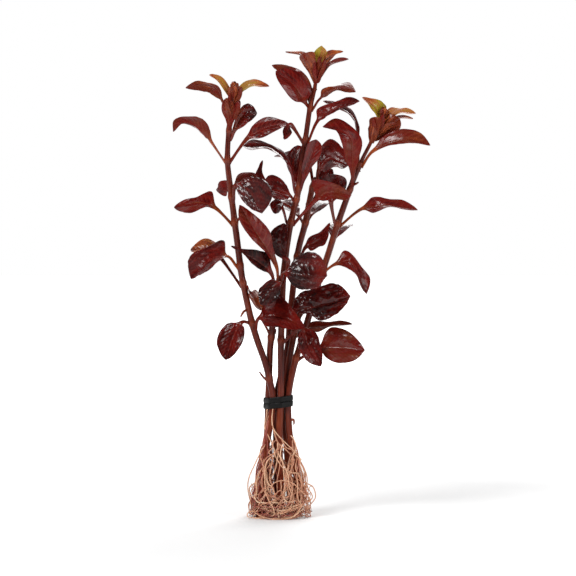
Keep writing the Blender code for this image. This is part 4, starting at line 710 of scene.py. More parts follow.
class Bundle:
    """Rings of one or more lofts gathered for one mesh."""

    def __init__(self):
        self.vertices = []
        self.faces = []
        self.attributes = {}
        self.count = 0

    def add(self, rings, attributes, closed=False):
        """Takes in the rings of a loft, in millimetres, with the values that its points carry."""
        rows, around, _ = rings.shape
        self.faces += loft_faces(rows, around, self.count, closed)
        self.vertices.append(rings.reshape(-1, 3))
        for label, values in attributes.items():
            spread = np.broadcast_to(values, (rows, around)).reshape(-1)
            self.attributes.setdefault(label, []).append(spread)
        self.count += rows * around

    def piece(self, name, material, slot, *replaced):
        """The lofts as one shaded piece on the bunch's one body, in place of the nodes named."""
        mesh = bpy.data.meshes.new(name)
        mesh.from_pydata((np.concatenate(self.vertices) * MM).tolist(), [], self.faces)
        mesh.update()
        for label, parts in self.attributes.items():
            layer = mesh.attributes.new(label, "FLOAT", "POINT")
            layer.data.foreach_set("value", np.concatenate(parts).astype(np.float32))
        mesh.materials.append(material)
        mesh.shade_smooth()
        made = bpy.data.objects.new(name, mesh)
        bpy.context.scene.collection.objects.link(made)
        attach(made, "root")
        if replaced:
            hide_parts(*replaced)


def round_rings(path, radii, sides):
    """Rings of a round tube along a path, turned as little as possible from ring to ring."""
    ahead = tangents(path)
    across = np.cross(ahead[0], [0.31, 0.9, 0.2])
    across /= np.linalg.norm(across)
    angles = np.arange(sides) * 2 * math.pi / sides
    rings = []
    for centre, direction, radius in zip(path, ahead, radii):
        across = across - direction * across.dot(direction)
        across /= np.linalg.norm(across)
        other = np.cross(direction, across)
        ring = np.outer(np.cos(angles), across) + np.outer(np.sin(angles), other)
        rings.append(centre + ring * radius)
    return np.array(rings)


def margin_points(rib, facing, margin):
    """Three points of a margin in depth too: each lies in the plane that the blade faces there."""
    points = []
    for (x, y, z), way, (margin_x, margin_z) in zip(rib, facing, margin):
        depth = -(way[0] * (margin_x - x) + way[2] * (margin_z - z)) / way[1]
        points.append((margin_x, y + depth, margin_z))
    return points


def blade_margins(rib, side, facing, form):
    """Both margins of a blade at MARGIN_SHARES: as traced, or for a plain width as a smooth oval."""
    if isinstance(form, tuple):
        left, right = [margin_points(rib[1:4], facing[1:4], margin) for margin in form]
        if sum((np.array(right[1]) - left[1]) * side[2]) < 0:
            left, right = right, left
    else:
        half = 0.5 * form * np.array(PLAIN_BLADE)[:, None]
        left, right = rib[1:4] - side[1:4] * half, rib[1:4] + side[1:4] * half
    return [np.array([rib[0], *margin, rib[4]]) for margin in (left, right)]


def leaf_grid(path, blade_start, form, face, look):
    """A leaf's rows, from its petiole's foot to its tip, and columns, from margin to margin."""
    length = lengths_along(path)[-1]
    blade_length = length - blade_start
    tip_face = face if look["tip_face"] is None else look["tip_face"]

    def direction_at(distances):
        return unit(points_at(path, np.minimum(distances + DIRECTION_REACH, length))
                    - points_at(path, np.maximum(distances - DIRECTION_REACH, 0.0)))

    def facing_at(shares):
        return np.outer(1 - shares, face) + np.outer(shares, tip_face)

    knots = np.array(MARGIN_SHARES)
    knot_places = blade_start + knots * blade_length
    knot_side = unit(np.cross(direction_at(knot_places), facing_at(knots)))
    margins = blade_margins(points_at(path, knot_places), knot_side, facing_at(knots), form)

    blade_share = np.linspace(0.0, 1.0, BLADE_ROWS + 1)
    blade_share = blade_share - ROW_CROWDING * np.sin(2 * math.pi * blade_share) / math.pi
    foot = np.linspace(0.0, 1.0, PETIOLE_ROWS, endpoint=False) if blade_start > 0 else np.zeros(0)
    distances = np.concatenate([foot * blade_start, blade_start + blade_share * blade_length])
    share = np.concatenate([np.zeros(len(foot)), blade_share])
    foot_share = np.concatenate([foot, np.ones(len(blade_share))])
    centre = points_at(path, distances)
    along = direction_at(distances)
    side = unit(np.cross(along, facing_at(share)))

    # From the midrib to each margin, and no narrower than the petiole and the blunt tip
    flare = PETIOLE_FOOT_FLARE * (1 - foot_share) ** 3 + PETIOLE_WING * foot_share ** 3
    stalk = PETIOLE_HALF_WIDTH * (1 + flare)
    least = np.maximum(stalk * (1 - smoothstep(0.0, PETIOLE_FADED, share)), TIP_HALF_WIDTH)
    rounding = np.sqrt(np.clip((1 - share) / TIP_LENGTH, 0, 1))
    least = least + look["blunt"] * rounding * smoothstep(*BLUNT_FROM, share)
    waist = 1 - 0.5 * bell(share, WAIST_LENGTH)
    to_margin = []
    for margin, hand in zip(margins, (-1, 1)):
        reached = curve_through(MARGIN_SHARES, margin, share) - centre
        reached[:len(foot)] = 0.0
        to_margin.append(reached * waist[:, None] + side * (hand * least)[:, None])

    column = np.linspace(-1.0, 1.0, BLADE_COLUMNS)
    column = np.sign(column) * np.abs(column) ** COLUMN_CROWDING
    out = np.abs(column)[None, :]
    spread = np.where((column < 0)[None, :, None], to_margin[0][:, None, :], to_margin[1][:, None, :])
    spread = spread * out[..., None]
    return SimpleNamespace(
        length=blade_length, share=share[:, None], centre=centre[:, None, :],
        up=np.cross(side, along)[:, None, :], out=out, right=np.sign(column)[None, :] > 0,
        sign=np.sign(column)[None, :], spread=spread, from_rib=np.linalg.norm(spread, axis=-1),
        half=0.5 * np.linalg.norm(to_margin[1] - to_margin[0], axis=1)[:, None],
        on_blade=smoothstep(0.0, RELIEF_FULL, share)[:, None])


def blade_relief(grid, look, seed):
    """The height of a blade's upper side, and where its groove, veins, folds and swells are."""
    out, share, from_rib = grid.out, grid.share, grid.from_rib

    # The midrib lies lower than the margins, and each half bulges a little between them
    hollow = math.tan(math.radians(look["cup"])) * grid.half * (1 - out) ** 1.6
    belly = BELLY * grid.half * np.sin(math.pi * out)
    edge = math.tan(math.radians(look["curl"])) * grid.half * out ** 5
    lift = (belly + edge - hollow) * grid.on_blade

    # Waves of the margin, which differ on the two sides
    beat = WAVES_A_BLADE * share + WAVE_LEAD * grid.right
    ends = np.sin(math.pi * np.clip(share, 0, 1)) ** 0.6
    lift += look["wave"] * out ** 1.7 * np.sin(2 * math.pi * beat) * ends

    # Side veins run out and forward from the midrib, with the blade raised between them
    spacing = max(VEIN_LEAST_SPACING, grid.length / VEINS_A_SIDE)
    vein_place = (share * grid.length - VEIN_LEAN * from_rib - VEIN_BEND * from_rib ** 2) / spacing
    vein_place = vein_place + 0.5 * grid.right
    off_vein = np.abs(vein_place - np.round(vein_place))
    room = smoothstep(*VEINS_BEGIN, out) * (1 - smoothstep(*VEINS_END, out)) * grid.on_blade
    veins = bell(off_vein, VEIN_HALF_WIDTH) * room * (1 - smoothstep(*VEINS_FADE, share))
    puff = look["puff"] * np.sin(math.pi * np.clip(off_vein * 2, 0, 1) / 2) ** 0.8 * room
    size = np.clip(grid.half / FULL_RELIEF_WIDTH, LEAST_RELIEF, 1.0)
    lift += puff * size
    groove = bell(from_rib, GROOVE_HALF_WIDTH)
    lift -= GROOVE_DEPTH * groove * grid.on_blade * (1 - 0.7 * share)

    # Uneven creases, broad swells and lengthwise folds of a wet, soft blade
    flat = np.stack(np.broadcast_arrays(from_rib * grid.sign, share * grid.length, 0.0), axis=-1)
    creases = uneven(flat, CREASE_GRAIN, seed) + 0.4 * uneven(flat, FINE_CREASE_GRAIN, seed + 7.3)
    ridges = 0.6 - np.abs(uneven(flat, RIDGE_GRAIN, seed + 3.1)) * 2.4
    lift += look["crinkle"] * (0.9 * creases + 0.5 * ridges) * grid.on_blade * size
    swells = uneven(flat, SWELL_GRAIN, seed + 11.7)
    lift += SWELL_HEIGHT * swells * grid.on_blade * size
    folds = uneven(flat * FOLD_GRAIN, 1.0, seed + 20.3)
    lift += look["fold"] * folds * grid.on_blade * size
    return lift, groove, veins, folds, swells


def round_blade(upper, lower):
    """Rows of values across the upper side and back across the lower one."""
    return np.concatenate([upper, lower[:, ::-1]], axis=1)


def leaf_rings(path, blade_start, form, face, look, seed):
    """Rings round a leaf from its petiole's foot to its tip, and the values its points carry."""
    grid = leaf_grid(path, blade_start, form, face, look)
    lift, groove, veins, folds, swells = blade_relief(grid, look, seed)
    share, on_blade = grid.share, grid.on_blade

    thick = BLADE_THICKNESS + (MARGIN_THICKNESS - BLADE_THICKNESS) * grid.out ** 3
    keel = KEEL_HEIGHT * bell(grid.from_rib, KEEL_HALF_WIDTH) * (1 - 0.8 * share)
    stalk_depth = PETIOLE_HALF_DEPTH * np.sqrt(np.clip(1 - grid.out ** 2, 0.0, 1.0))
    top = lift + (1 - on_blade) * stalk_depth * 0.75
    low = top - (1 - on_blade) * stalk_depth * 1.75 - on_blade * (thick + keel) - LEAST_THICKNESS
    rings = round_blade(*[grid.centre + grid.spread + grid.up * height[..., None]
                          for height in (top, low)])

    tip_tint = look["top"] if look["tip"] is None else look["tip"]
    upper = look["top"] + (tip_tint - look["top"]) * smoothstep(*TIP_TINT_FROM, share)
    rib_tint = look["top"] + RIB_TINT if look["rib"] is None else look["rib"]
    rib_line = bell(grid.from_rib, KEEL_HALF_WIDTH) * (1 - smoothstep(*RIB_FADES, share))
    past_petiole = smoothstep(0.0, PETIOLE_TINT_FADED, share)
    # Painted light and shade: the tint rises where folds and swells lift the blade and falls in their
    # hollows
    streaks = (FOLD_PAINTED_SHADING * folds + SWELL_PAINTED_SHADING * swells) * past_petiole

    def tinted(base):
        value = look["petiole"] + (base - look["petiole"]) * past_petiole
        return value + (rib_tint - value) * rib_line * past_petiole * RIB_SHARE

    pale = np.clip(veins * look["veins"] + groove * 0.6 * on_blade * (1 - share), 0, 1)
    return rings, {"tint": round_blade(tinted(upper + streaks), tinted(look["under"] + streaks)),
                   "vein": round_blade(pale, np.clip(pale * 1.4, 0, 1)),
                   "under": round_blade(np.zeros_like(pale), np.ones_like(pale)),
                   "gloss": look["gloss"]}


def leaf_piece(name, material):
    """A grown leaf, its petiole rising out of its stem at the node."""
    node, rib, form, face, changes = LEAVES[name]
    axis = stem_centre(name.split("_")[0], node)
    outward = np.array([rib[0][0] - axis[0], rib[0][1] - axis[1], 0.0])
    outward /= np.linalg.norm(outward)
    skin = stem_radius(node) * (1 + NODE_SWELLING)
    steepness = max(0.0, unit(np.array(rib[0]) - axis)[2])
    shoulder = axis + outward * (skin + PETIOLE_BEND_ROOM) - np.array([0, 0, 0.4 * steepness])
    depth = PETIOLE_START_DEPTH + PETIOLE_STEEP_DEPTH * steepness
    inside = axis + outward * 0.45 * skin - np.array([0, 0, depth])
    path = smooth_path([inside, shoulder, *rib])
    blade_start = lengths_along(path)[2 * PATH_STEPS]
    seed = 10.0 * (sorted(LEAVES).index(name) + 1)
    bundle = Bundle()
    bundle.add(*leaf_rings(path, blade_start, form, face, {**PLAIN_LEAF, **changes}, seed))
    bundle.piece(name + "_leaf", material, "leaf", "leaf_" + name)


def add_bud(bundle, place, direction, tint, seed):
    """Adds a growing point: small broad leaves that stand round it in crossed pairs."""
    direction = unit(np.array(direction, float))
    across = unit(np.cross(direction, [0.2, 1, 0.1]))
    other = np.cross(direction, across)
    for number in range(BUD_LEAVES):
        angle = number * 1.75 + seed
        out = across * math.cos(angle) + other * math.sin(angle)
        spread = 0.35 + 0.45 * (number / BUD_LEAVES)
        height = 1 - 0.4 * number / BUD_LEAVES
        rib = [place + out * 0.3, place + direction * BUD_SIZE * 0.5 + out * BUD_SIZE * spread * 0.5,
               place + direction * BUD_SIZE * height + out * BUD_SIZE * spread * 0.7]
        tone = tint + 0.1 * (number % 2)
        look = {**BUD_LEAF, "top": tone, "under": tone - 0.06, "petiole": tone - 0.1, "rib": tone,
                "tip_face": -out + direction * 0.2}
        bundle.add(*leaf_rings(smooth_path(rib), 0.0, BUD_SIZE * 0.62, -out + direction * 0.6, look,
                               seed + number))


def shoot_tip_piece(tip, material):
    """A growing tip: the end of the stem with its young leaves and its bud."""
    bundle = Bundle()
    given = SHOOT_TIPS[tip]
    path = smooth_path([np.array(given["line"][0]) - [0, 0, 1.5], *given["line"]])
    radii = np.linspace(YOUNG_STEM_RADIUS, YOUNG_STEM_RADIUS * 0.6, len(path))
    tint = np.linspace(0.5, 0.6, len(path))[:, None]
    bundle.add(round_rings(path, radii, YOUNG_STEM_SIDES),
               {"tint": tint, "vein": 0.15, "under": 0.3, "gloss": 0.4})
    for number, (rib, form, face, changes) in enumerate(given["leaves"]):
        bundle.add(*leaf_rings(smooth_path(rib), 0.0, form, face, {**YOUNG_LEAF, **changes},
                               50.0 + 9 * number))
    end = path[-1] - tangents(path)[-1] * 0.8
    add_bud(bundle, end, path[-1] - path[-8], given["bud"], 1.3 + len(tip))
    for number, (rib, width, face, tint) in enumerate(given["inner"]):
        look = {**INNER_LEAF, "top": tint, "under": tint, "petiole": tint, "rib": tint + 0.08}
        bundle.add(*leaf_rings(smooth_path(rib), 0.0, width, face, look, 90.0 + number))
    bundle.piece(tip + "_shoot_tip", material, "young_leaf", "shoot_tip_" + tip)


def stem_piece(stem, material):
    """A stem with low ridges, swollen nodes, its cut foot and its broken petiole stubs."""
    top = STEMS[stem]["line"][-1][2]
    heights = np.arange(0.0, top + 0.3, STEM_RING_STEP)
    path = np.array([stem_centre(stem, height) for height in heights])
    above_node = heights[:, None] - np.array(STEMS[stem]["nodes"])[None, :]
    near = bell(above_node, NODE_HALF_LENGTH).max(axis=1)
    radii = np.array([stem_radius(height) for height in heights]) * (1 + NODE_SWELLING * near)
    if stem in ROUNDED_STEMS:
        radii *= np.sqrt(np.clip((top + 0.6 - heights) / ROUNDING_LENGTH, 0.08, 1.0))
    rings = round_rings(path, np.ones(len(path)), STEM_SIDES)
    spokes = rings - path[:, None, :]
    angle = np.arange(STEM_SIDES)[None, :] * 2 * math.pi / STEM_SIDES
    seed = 3.0 * (sorted(STEMS).index(stem) + 1)
    ridges = np.cos(STEM_RIDGES * (angle + (heights[:, None] * STEM_RIDGE_TWIST + seed)))
    lumps = LUMP_HEIGHT * uneven(rings * np.array([1.0, 1.0, 0.25]), 0.9, seed)
    scar = SCAR_HEIGHT * bell(above_node - 0.4, 0.3).max(axis=1)
    rings = (path[:, None, :] + spokes * (radii + scar)[:, None, None]
             + spokes * (STEM_RIDGE_HEIGHT * ridges + lumps)[..., None])
    rings[0, :, 2] = 0.0
    tint = STEM_TINT + NODE_TINT * near + SLOW_TINT * np.sin(heights / 9 + seed)
    tint = tint + FOOT_TINT * (1 - smoothstep(*BROWN_FOOT, heights))
    bundle = Bundle()
    bundle.add(rings, {"tint": tint[:, None] + RIDGE_TINT * ridges, "node": near[:, None]})
    for number, stub in enumerate(STEMS[stem].get("stubs", ())):
        line = smooth_path(stub)
        widths = np.interp(np.linspace(0, 3, len(line)), range(4), STUB_RADII)
        bundle.add(round_rings(line, widths, STUB_SIDES), {"tint": 0.6 + 0.1 * (number % 2), "node": 0.0})
    bundle.piece(stem + "_stem", material, "stem", "stem_" + stem)


def farthest_stem(direction, heights):
    """The centre of the stem that reaches farthest in a level direction."""
    centres = [stem_centre(stem, height) for stem in STEMS for height in heights]
    return max(centres, key=lambda point: (point[:2] - BUNCH_AXIS).dot(direction))[:2]


def band_line():
    """The centre line of the band: two turns round the stems, which change places at the back."""
    stand_off = stem_radius(BAND_HEIGHT) + BAND_HALF_THICKNESS
    heights = (BAND_HEIGHT - BAND_ZONE, BAND_HEIGHT + BAND_ZONE)
    hull = []
    outward = []
    for step in range(HULL_STEPS + 1):
        angle = 2 * math.pi * step / HULL_STEPS + math.pi / 2
        direction = np.array([math.cos(angle), math.sin(angle)])
        hull.append([*(farthest_stem(direction, heights) + direction * stand_off), 0.0])
        outward.append([*direction, 0.0])
    hull, outward = np.array(hull), np.array(outward)
    points = []
    for step in range(2 * BAND_STEPS_A_TURN):
        through = step % BAND_STEPS_A_TURN / BAND_STEPS_A_TURN
        near = smoothstep(0.0, 1.0, 1 - min(through, 1 - through) / BAND_CROSSING_SHARE)
        upper = step < BAND_STEPS_A_TURN
        distance = through * lengths_along(hull)[-1]
        flat = points_at(hull, distance)
        if upper == (through < 0.5):
            away = unit(points_at(hull, distance, outward))
            flat = flat + away * (2 * BAND_HALF_THICKNESS + BAND_CROSSING_GAP) * min(1.0, 2 * near)
        rise = (1 if upper else -1) * (1 - near) * BAND_TURN_RISE
        tilt = (flat[0] - BUNCH_AXIS[0]) * BAND_TILT
        points.append([flat[0], flat[1], BAND_HEIGHT + tilt + rise])
    points = np.array(points)
    for _ in range(3):
        points = (np.roll(points, 1, axis=0) + 2 * points + np.roll(points, -1, axis=0)) / 4
    return points


def band_piece(material):
    """The rubber band: a flat strand with rounded edges and shallow dents, twice round the stems."""
    line = band_line()
    ahead = unit(np.roll(line, -1, axis=0) - np.roll(line, 1, axis=0))
    out = unit(np.cross(ahead, [0, 0, 1.0]))
    up = np.cross(out, ahead)
    angles = np.arange(BAND_SIDES) * 2 * math.pi / BAND_SIDES
    wide = np.sign(np.sin(angles)) * np.abs(np.sin(angles)) ** 0.6 * BAND_HALF_HEIGHT
    thick = np.sign(np.cos(angles)) * np.abs(np.cos(angles)) ** 0.7 * BAND_HALF_THICKNESS
    rings = (line[:, None, :] + out[:, None, :] * thick[None, :, None]
             + up[:, None, :] * wide[None, :, None])
    rings = rings + out[:, None, :] * (BAND_DENTS * uneven(rings, 0.8, 4.0))[..., None]
    bundle = Bundle()
    bundle.add(rings, {}, closed=True)
    bundle.piece("band", material, "rubber_band", "rubber_band")


def root_path(draw, stem, start_height, home, spread, curliness):
    """A root from a stem's side that wanders down the skirt, curls near the floor and lies there."""
    angle = home + draw.gauss(0, spread)
    out = np.array([math.cos(angle), math.sin(angle), 0.0])
    place = stem_centre(stem, start_height) + out * stem_radius(start_height) * ROOT_SEAT
    around = np.array([-out[1], out[0], 0.0]) * draw.gauss(0, 0.45 * curliness)
    heading = unit(out * draw.uniform(0.3, 1.0) + around + np.array([0.0, 0.0, -1.0]))
    bend = np.zeros(3)
    share = draw.uniform(0.45, 1.0)
    ground = draw.uniform(*LYING_HEIGHTS)
    points = [place]
    length = start_height * LENGTH_FOR_HEIGHT + draw.uniform(*FREE_LENGTHS)
    for _ in range(int(length / ROOT_STEP)):
        low = 1 - smoothstep(*CURLING_HEIGHTS, place[2])
        sway = np.array([draw.gauss(0, 1), draw.gauss(0, 1), draw.gauss(0, 1)])
        bend = BEND_KEPT * bend + sway * curliness * (HANGING_SWAY + CURLING_SWAY * low)
        offset = np.array([place[0] - BUNCH_AXIS[0], place[1] - BUNCH_AXIS[1], 0.0])
        reach = between(SKIRT, place[2])
        distance = max(np.linalg.norm(offset), 0.1)
        to_skirt = offset / distance * (reach * share - distance) * SKIRT_PULL
        droop = np.array([0.0, 0.0, -DROOP * (1 - DROOP_LOST * low)])
        heading = unit(heading + bend + to_skirt + droop)
        place = place + heading * ROOT_STEP
        over = distance / reach - 1
        if over > 0:
            place = place - offset * over * 0.5
        if place[2] < ground:
            place[2] = ground
            heading[2] = 0.1 * abs(heading[2])
        points.append(place)
    return smooth_path(points, 3)


def on_skirt(points, draw):
    """A line on the front of the root skirt from its (x, z) points, each a little in or out."""
    line = []
    for x, z in points:
        depth_squared = between(SKIRT, z) ** 2 - (x - BUNCH_AXIS[0]) ** 2
        depth = math.sqrt(max(depth_squared, FRONT_ROOT_LEAST_DEPTH ** 2))
        line.append((x, BUNCH_AXIS[1] - depth + draw.uniform(*FRONT_ROOT_DRAWS), z))
    return line


def root_pieces(material):
    """The root tuft as fibres, in four bunches; the first stands for the tuft's solid."""
    draw = random.Random(41)
    replaced = ["root_tuft"]
    for name, stems, count, highest, home, spread, tone, curliness in ROOT_BUNCHES:
        bundle = Bundle()
        for number in range(count):
            stem = stems[number % len(stems)]
            start = highest * (draw.uniform(0.3, 0.8) if number % 3 else draw.uniform(0.75, 1.0))
            path = root_path(draw, stem, start, math.radians(home), spread, curliness)
            radii = ROOT_RADIUS * draw.uniform(*ROOT_THICKNESSES) * np.linspace(*ROOT_TAPER, len(path))
            shade = min(1.0, max(0.0, tone + draw.gauss(0, 0.2)))
            bundle.add(round_rings(path, radii, ROOT_SIDES), {"tone": shade})
        if name == "front_roots":
            for line in LOOSE_ROOTS + [on_skirt(points, draw) for points in FRONT_ROOTS]:
                path = smooth_path(line, 9)
                radii = np.linspace(*TRACED_ROOT_TAPER, len(path)) * ROOT_RADIUS
                bundle.add(round_rings(path, radii, ROOT_SIDES), {"tone": draw.uniform(0.5, 0.95)})
        bundle.piece(name, material, "root", *replaced)
        replaced = []


def new_material(name, **constants):
    """A material, its nodes and its shader, with what is the same all over set on the shader."""
    made = bpy.data.materials.new(name)
    made.use_nodes = True
    shader = made.node_tree.nodes["Principled BSDF"]
    for label, value in constants.items():
        shader.inputs[label.replace("_", " ")].default_value = value
    return made, made.node_tree, shader


def feed(tree, value, socket):
    """Links another node's socket to this one, or sets this one to a plain value."""
    if hasattr(value, "is_output"):
        tree.links.new(value, socket)
    else:
        socket.default_value = value


def maths(tree, operation, first, second):
    """A maths node fed by sockets or plain numbers; gives its result socket."""
    node = tree.nodes.new("ShaderNodeMath")
    node.operation = operation
    feed(tree, first, node.inputs[0])
    feed(tree, second, node.inputs[1])
    return node.outputs[0]


def clamped(tree, value, least, most):
    """A value held between two plain numbers."""
    return maths(tree, "MINIMUM", maths(tree, "MAXIMUM", value, least), most)


def object_place(tree):
    """The place of a point on its object."""
    return tree.nodes.new("ShaderNodeTexCoord").outputs["Object"]


def noise_at(tree, scale, detail=3.0, place=None):
    """A noise texture over the object, or over a changed place; gives its factor socket."""
    node = tree.nodes.new("ShaderNodeTexNoise")
    node.inputs["Detail"].default_value = detail
    feed(tree, scale, node.inputs["Scale"])
    tree.links.new(place or object_place(tree), node.inputs["Vector"])
    return node.outputs["Fac"]


def shader_group(name, result, **inputs):
    """An empty shader group of plain numbers: its tree, its inputs and its one result."""
    group = bpy.data.node_groups.new(name, "ShaderNodeTree")
    for label, value in inputs.items():
        socket = group.interface.new_socket(label, in_out="INPUT", socket_type="NodeSocketFloat")
        socket.default_value = value
    group.interface.new_socket(result, in_out="OUTPUT", socket_type="NodeSocketFloat")
    start = group.nodes.new("NodeGroupInput")
    end = group.nodes.new("NodeGroupOutput")
    return group, start.outputs, end.inputs[result]


def mottle_group():
    """Patches of slightly different tone: a shift to add to a tint."""
    group, given, shift = shader_group("mottle", "Shift", Scale=400.0, Depth=0.1)
    broad = noise_at(group, given["Scale"])
    fine = noise_at(group, maths(group, "MULTIPLY", given["Scale"], 4.3))
    both = maths(group, "ADD", maths(group, "MULTIPLY", broad, 0.65), maths(group, "MULTIPLY", fine, 0.35))
    centred = maths(group, "SUBTRACT", both, 0.5)
    group.links.new(maths(group, "MULTIPLY", centred, given["Depth"]), shift)
    return group


def grain_group():
    """Fine surface grain, for a bump: small cells over soft unevenness."""
    group, given, height = shader_group("surface_grain", "Height", Scale=900.0)
    cells = group.nodes.new("ShaderNodeTexVoronoi")
    group.links.new(object_place(group), cells.inputs["Vector"])
    group.links.new(given["Scale"], cells.inputs["Scale"])
    soft = noise_at(group, maths(group, "MULTIPLY", given["Scale"], 0.35))
    low = maths(group, "MULTIPLY", cells.outputs["Distance"], 0.35)
    group.links.new(maths(group, "ADD", low, soft), height)
    return group


MOTTLE = mottle_group()
GRAIN = grain_group()


def placed_group(tree, group, **values):
    """A group placed in a material with its own values; gives its result."""
    node = tree.nodes.new("ShaderNodeGroup")
    node.node_tree = group
    for label, value in values.items():
        node.inputs[label].default_value = value
    return node.outputs[0]


def attribute(tree, name):
    """The value that a mesh carries under a name."""
    node = tree.nodes.new("ShaderNodeAttribute")
    node.attribute_name = name
    return node.outputs["Fac"]


def linear(display):
    """A colour given in display values from 0 to 255, as the shader wants it."""
    shares = [value / 255 for value in display]
    return (*[share / 12.92 if share <= 0.04045 else ((share + 0.055) / 1.055) ** 2.4
              for share in shares], 1.0)


def colour_ramp(tree, factor, stops):
    """Colours along a factor from 0 to 1."""
    node = tree.nodes.new("ShaderNodeValToRGB")
    ramp = node.color_ramp
    while len(ramp.elements) < len(stops):
        ramp.elements.new(0.5)
    for element, (place, colour) in zip(ramp.elements, stops):
        element.position = place
        element.color = linear(colour)
    tree.links.new(factor, node.inputs["Fac"])
    return node.outputs["Color"]


def towards(tree, factor, colour, other):
    """A colour moved by a factor towards a display colour."""
    node = tree.nodes.new("ShaderNodeMix")
    node.data_type = "RGBA"
    tree.links.new(factor, node.inputs["Factor"])
    first, second = [socket for socket in node.inputs if socket.type == "RGBA"]
    feed(tree, colour, first)
    feed(tree, linear(other), second)
    return [socket for socket in node.outputs if socket.type == "RGBA"][0]


def dress(tree, shader, colour, height, strength, depth=0.0002):
    """Links a colour and a bump of a depth in metres to a shader."""
    bump = tree.nodes.new("ShaderNodeBump")
    bump.inputs["Strength"].default_value = strength
    bump.inputs["Distance"].default_value = depth
    tree.links.new(height, bump.inputs["Height"])
    tree.links.new(bump.outputs["Normal"], shader.inputs["Normal"])
    tree.links.new(colour, shader.inputs["Base Color"])


def leaf_material():
    """Wet leaf: tinted upper and lower sides, paler veins, water film in patches."""
    made, tree, shader = new_material("wet_leaf", Coat_Roughness=0.17, Coat_IOR=1.3,
                                      Specular_IOR_Level=0.08)
    tint = maths(tree, "ADD", attribute(tree, "tint"), placed_group(tree, MOTTLE, Scale=230.0, Depth=0.36))
    pale = maths(tree, "MULTIPLY", attribute(tree, "vein"), VEIN_PALENESS)
    colour = towards(tree, pale, colour_ramp(tree, tint, TINTS), VEIN_COLOUR)
    dress(tree, shader, colour, placed_group(tree, GRAIN, Scale=1200.0), 0.12, 0.0001)
    under = maths(tree, "MULTIPLY", attribute(tree, "under"), UNDER_ROUGHNESS)
    tree.links.new(maths(tree, "ADD", under, LEAF_ROUGHNESS), shader.inputs["Roughness"])
    film = maths(tree, "ADD", noise_at(tree, FILM_GRAIN), attribute(tree, "gloss"))
    wet = maths(tree, "MULTIPLY", maths(tree, "SUBTRACT", film, FILM_LEVEL), FILM_EDGE)
    tree.links.new(clamped(tree, wet, LEAST_FILM, 1.0), shader.inputs["Coat Weight"])
    return made


def stem_material():
    """Stem skin: brown red with darker and more orange streaks along it."""
    made, tree, shader = new_material("stem_skin", Roughness=0.45, Coat_Roughness=0.14,
                                      Coat_Weight=0.2, Specular_IOR_Level=0.1)
    stretch = tree.nodes.new("ShaderNodeMapping")
    stretch.inputs["Scale"].default_value = (1.0, 1.0, 0.08)
    tree.links.new(object_place(tree), stretch.inputs["Vector"])
    streaks = noise_at(tree, 1500.0, 4.0, stretch.outputs["Vector"])
    shift = maths(tree, "MULTIPLY", maths(tree, "SUBTRACT", streaks, 0.5), 0.5)
    tint = maths(tree, "ADD", maths(tree, "ADD", attribute(tree, "tint"), shift),
                 placed_group(tree, MOTTLE, Scale=120.0, Depth=0.3))
    node_glow = maths(tree, "MULTIPLY", attribute(tree, "node"), NODE_GLOW)
    colour = towards(tree, node_glow, colour_ramp(tree, tint, STEM_COLOURS), NODE_COLOUR)
    height = maths(tree, "ADD", placed_group(tree, GRAIN, Scale=1100.0),
                   maths(tree, "MULTIPLY", streaks, 1.5))
    dress(tree, shader, colour, height, 0.35)
    return made


def root_material():
    """Root fibres: from reddish pink to pale tan, darker in patches."""
    made, tree, shader = new_material("root_fibre", Roughness=0.42, Coat_Roughness=0.2, Coat_Weight=0.3)
    tone = maths(tree, "ADD", attribute(tree, "tone"), placed_group(tree, MOTTLE, Scale=240.0, Depth=0.5))
    colour = colour_ramp(tree, tone, ROOT_COLOURS)
    dress(tree, shader, colour, placed_group(tree, GRAIN, Scale=1300.0), 0.3)
    return made


def rubber_material():
    """Black rubber, dull, with worn greyish patches."""
    made, tree, shader = new_material("black_rubber", Roughness=0.45, Specular_IOR_Level=0.18)
    tone = maths(tree, "ADD", placed_group(tree, MOTTLE, Scale=300.0, Depth=1.0), 0.5)
    colour = colour_ramp(tree, tone, RUBBER_COLOURS)
    dress(tree, shader, colour, placed_group(tree, GRAIN, Scale=1600.0), 0.4)
    return made


def set_up(name, data, place, way):
    """A camera or lamp at a place in metres, looking one way."""
    made = bpy.data.objects.new(name, data)
    made.location = place
    made.rotation_mode = "QUATERNION"
    made.rotation_quaternion = way.to_track_quat("-Z", "Y")
    bpy.context.scene.collection.objects.link(made)
    return made


def set_camera():
    """A long lens in front of the bunch, tilted slightly down, as the photograph was taken."""
    data = bpy.data.cameras.new("camera")
    data.lens = CAMERA_LENS
    back = Vector((0.0, -math.cos(CAMERA_PITCH), math.sin(CAMERA_PITCH)))
    bpy.context.scene.camera = set_up("camera", data, CAMERA_AIM + back * CAMERA_DISTANCE, -back)


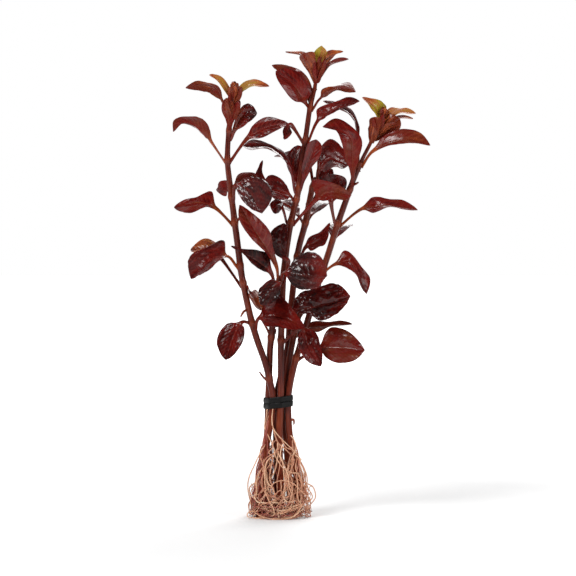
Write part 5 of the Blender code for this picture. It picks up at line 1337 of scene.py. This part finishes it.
def set_floor():
    """A wide pale floor with a painted glow, weakest near the bunch, that runs it into the white
    background.
    """
    made, tree, shader = new_material("pale_floor", Roughness=0.9, Specular_IOR_Level=0.1)
    shader.inputs["Base Color"].default_value = (FLOOR_TONE, FLOOR_TONE, FLOOR_TONE, 1.0)
    shader.inputs["Emission Color"].default_value = (1, 1, 1, 1)
    spread = tree.nodes.new("ShaderNodeVectorMath")
    spread.operation = "LENGTH"
    tree.links.new(object_place(tree), spread.inputs[0])
    # Painted light: the floor's emission rises with distance from the bunch
    share = maths(tree, "DIVIDE", maths(tree, "SUBTRACT", spread.outputs["Value"], FLOOR_GLOW_FROM),
                  FLOOR_GLOW_TO - FLOOR_GLOW_FROM)
    tree.links.new(clamped(tree, share, FLOOR_LEAST_GLOW, 1.0), shader.inputs["Emission Strength"])
    bpy.ops.mesh.primitive_plane_add(size=FLOOR_SIZE)
    floor = bpy.context.object
    floor.name = "floor"
    floor.data.materials.append(made)


def set_light():
    """A white room behind and above, dark on the camera's side, and soft lamps."""
    world = bpy.data.worlds.new("white_room")
    bpy.context.scene.world = world
    world.use_nodes = True
    tree = world.node_tree
    room = tree.nodes["Background"]
    room.inputs["Color"].default_value = (1, 1, 1, 1)
    apart = tree.nodes.new("ShaderNodeSeparateXYZ")
    tree.links.new(tree.nodes.new("ShaderNodeTexCoord").outputs["Generated"], apart.inputs[0])
    lean = maths(tree, "ADD", maths(tree, "MULTIPLY", apart.outputs["Y"], ROOM_BEHIND),
                 maths(tree, "MULTIPLY", apart.outputs["Z"], ROOM_ABOVE))
    strength = maths(tree, "ADD", maths(tree, "MAXIMUM", lean, 0.0), ROOM_FRONT)
    tree.links.new(strength, room.inputs["Strength"])
    seen = tree.nodes.new("ShaderNodeBackground")
    seen.inputs["Color"].default_value = (1, 1, 1, 1)
    mix = tree.nodes.new("ShaderNodeMixShader")
    tree.links.new(tree.nodes.new("ShaderNodeLightPath").outputs["Is Camera Ray"], mix.inputs["Fac"])
    tree.links.new(room.outputs[0], mix.inputs[1])
    tree.links.new(seen.outputs[0], mix.inputs[2])
    tree.links.new(mix.outputs[0], tree.nodes["World Output"].inputs["Surface"])
    for name, (place, size, power) in LAMPS.items():
        data = bpy.data.lights.new(name, "AREA")
        data.size = size
        data.energy = power
        set_up(name, data, place, LAMP_AIM - Vector(place))
    bpy.context.scene.view_settings.view_transform = "Standard"


def build():
    """The bunch piece by piece, with its camera, floor and light."""
    set_camera()
    set_floor()
    set_light()
    wet_leaf = leaf_material()
    stem_skin = stem_material()
    for stem in STEMS:
        stem_piece(stem, stem_skin)
    for name in LEAVES:
        leaf_piece(name, wet_leaf)
    for tip in SHOOT_TIPS:
        shoot_tip_piece(tip, wet_leaf)
    band_piece(rubber_material())
    root_pieces(root_material())


build()
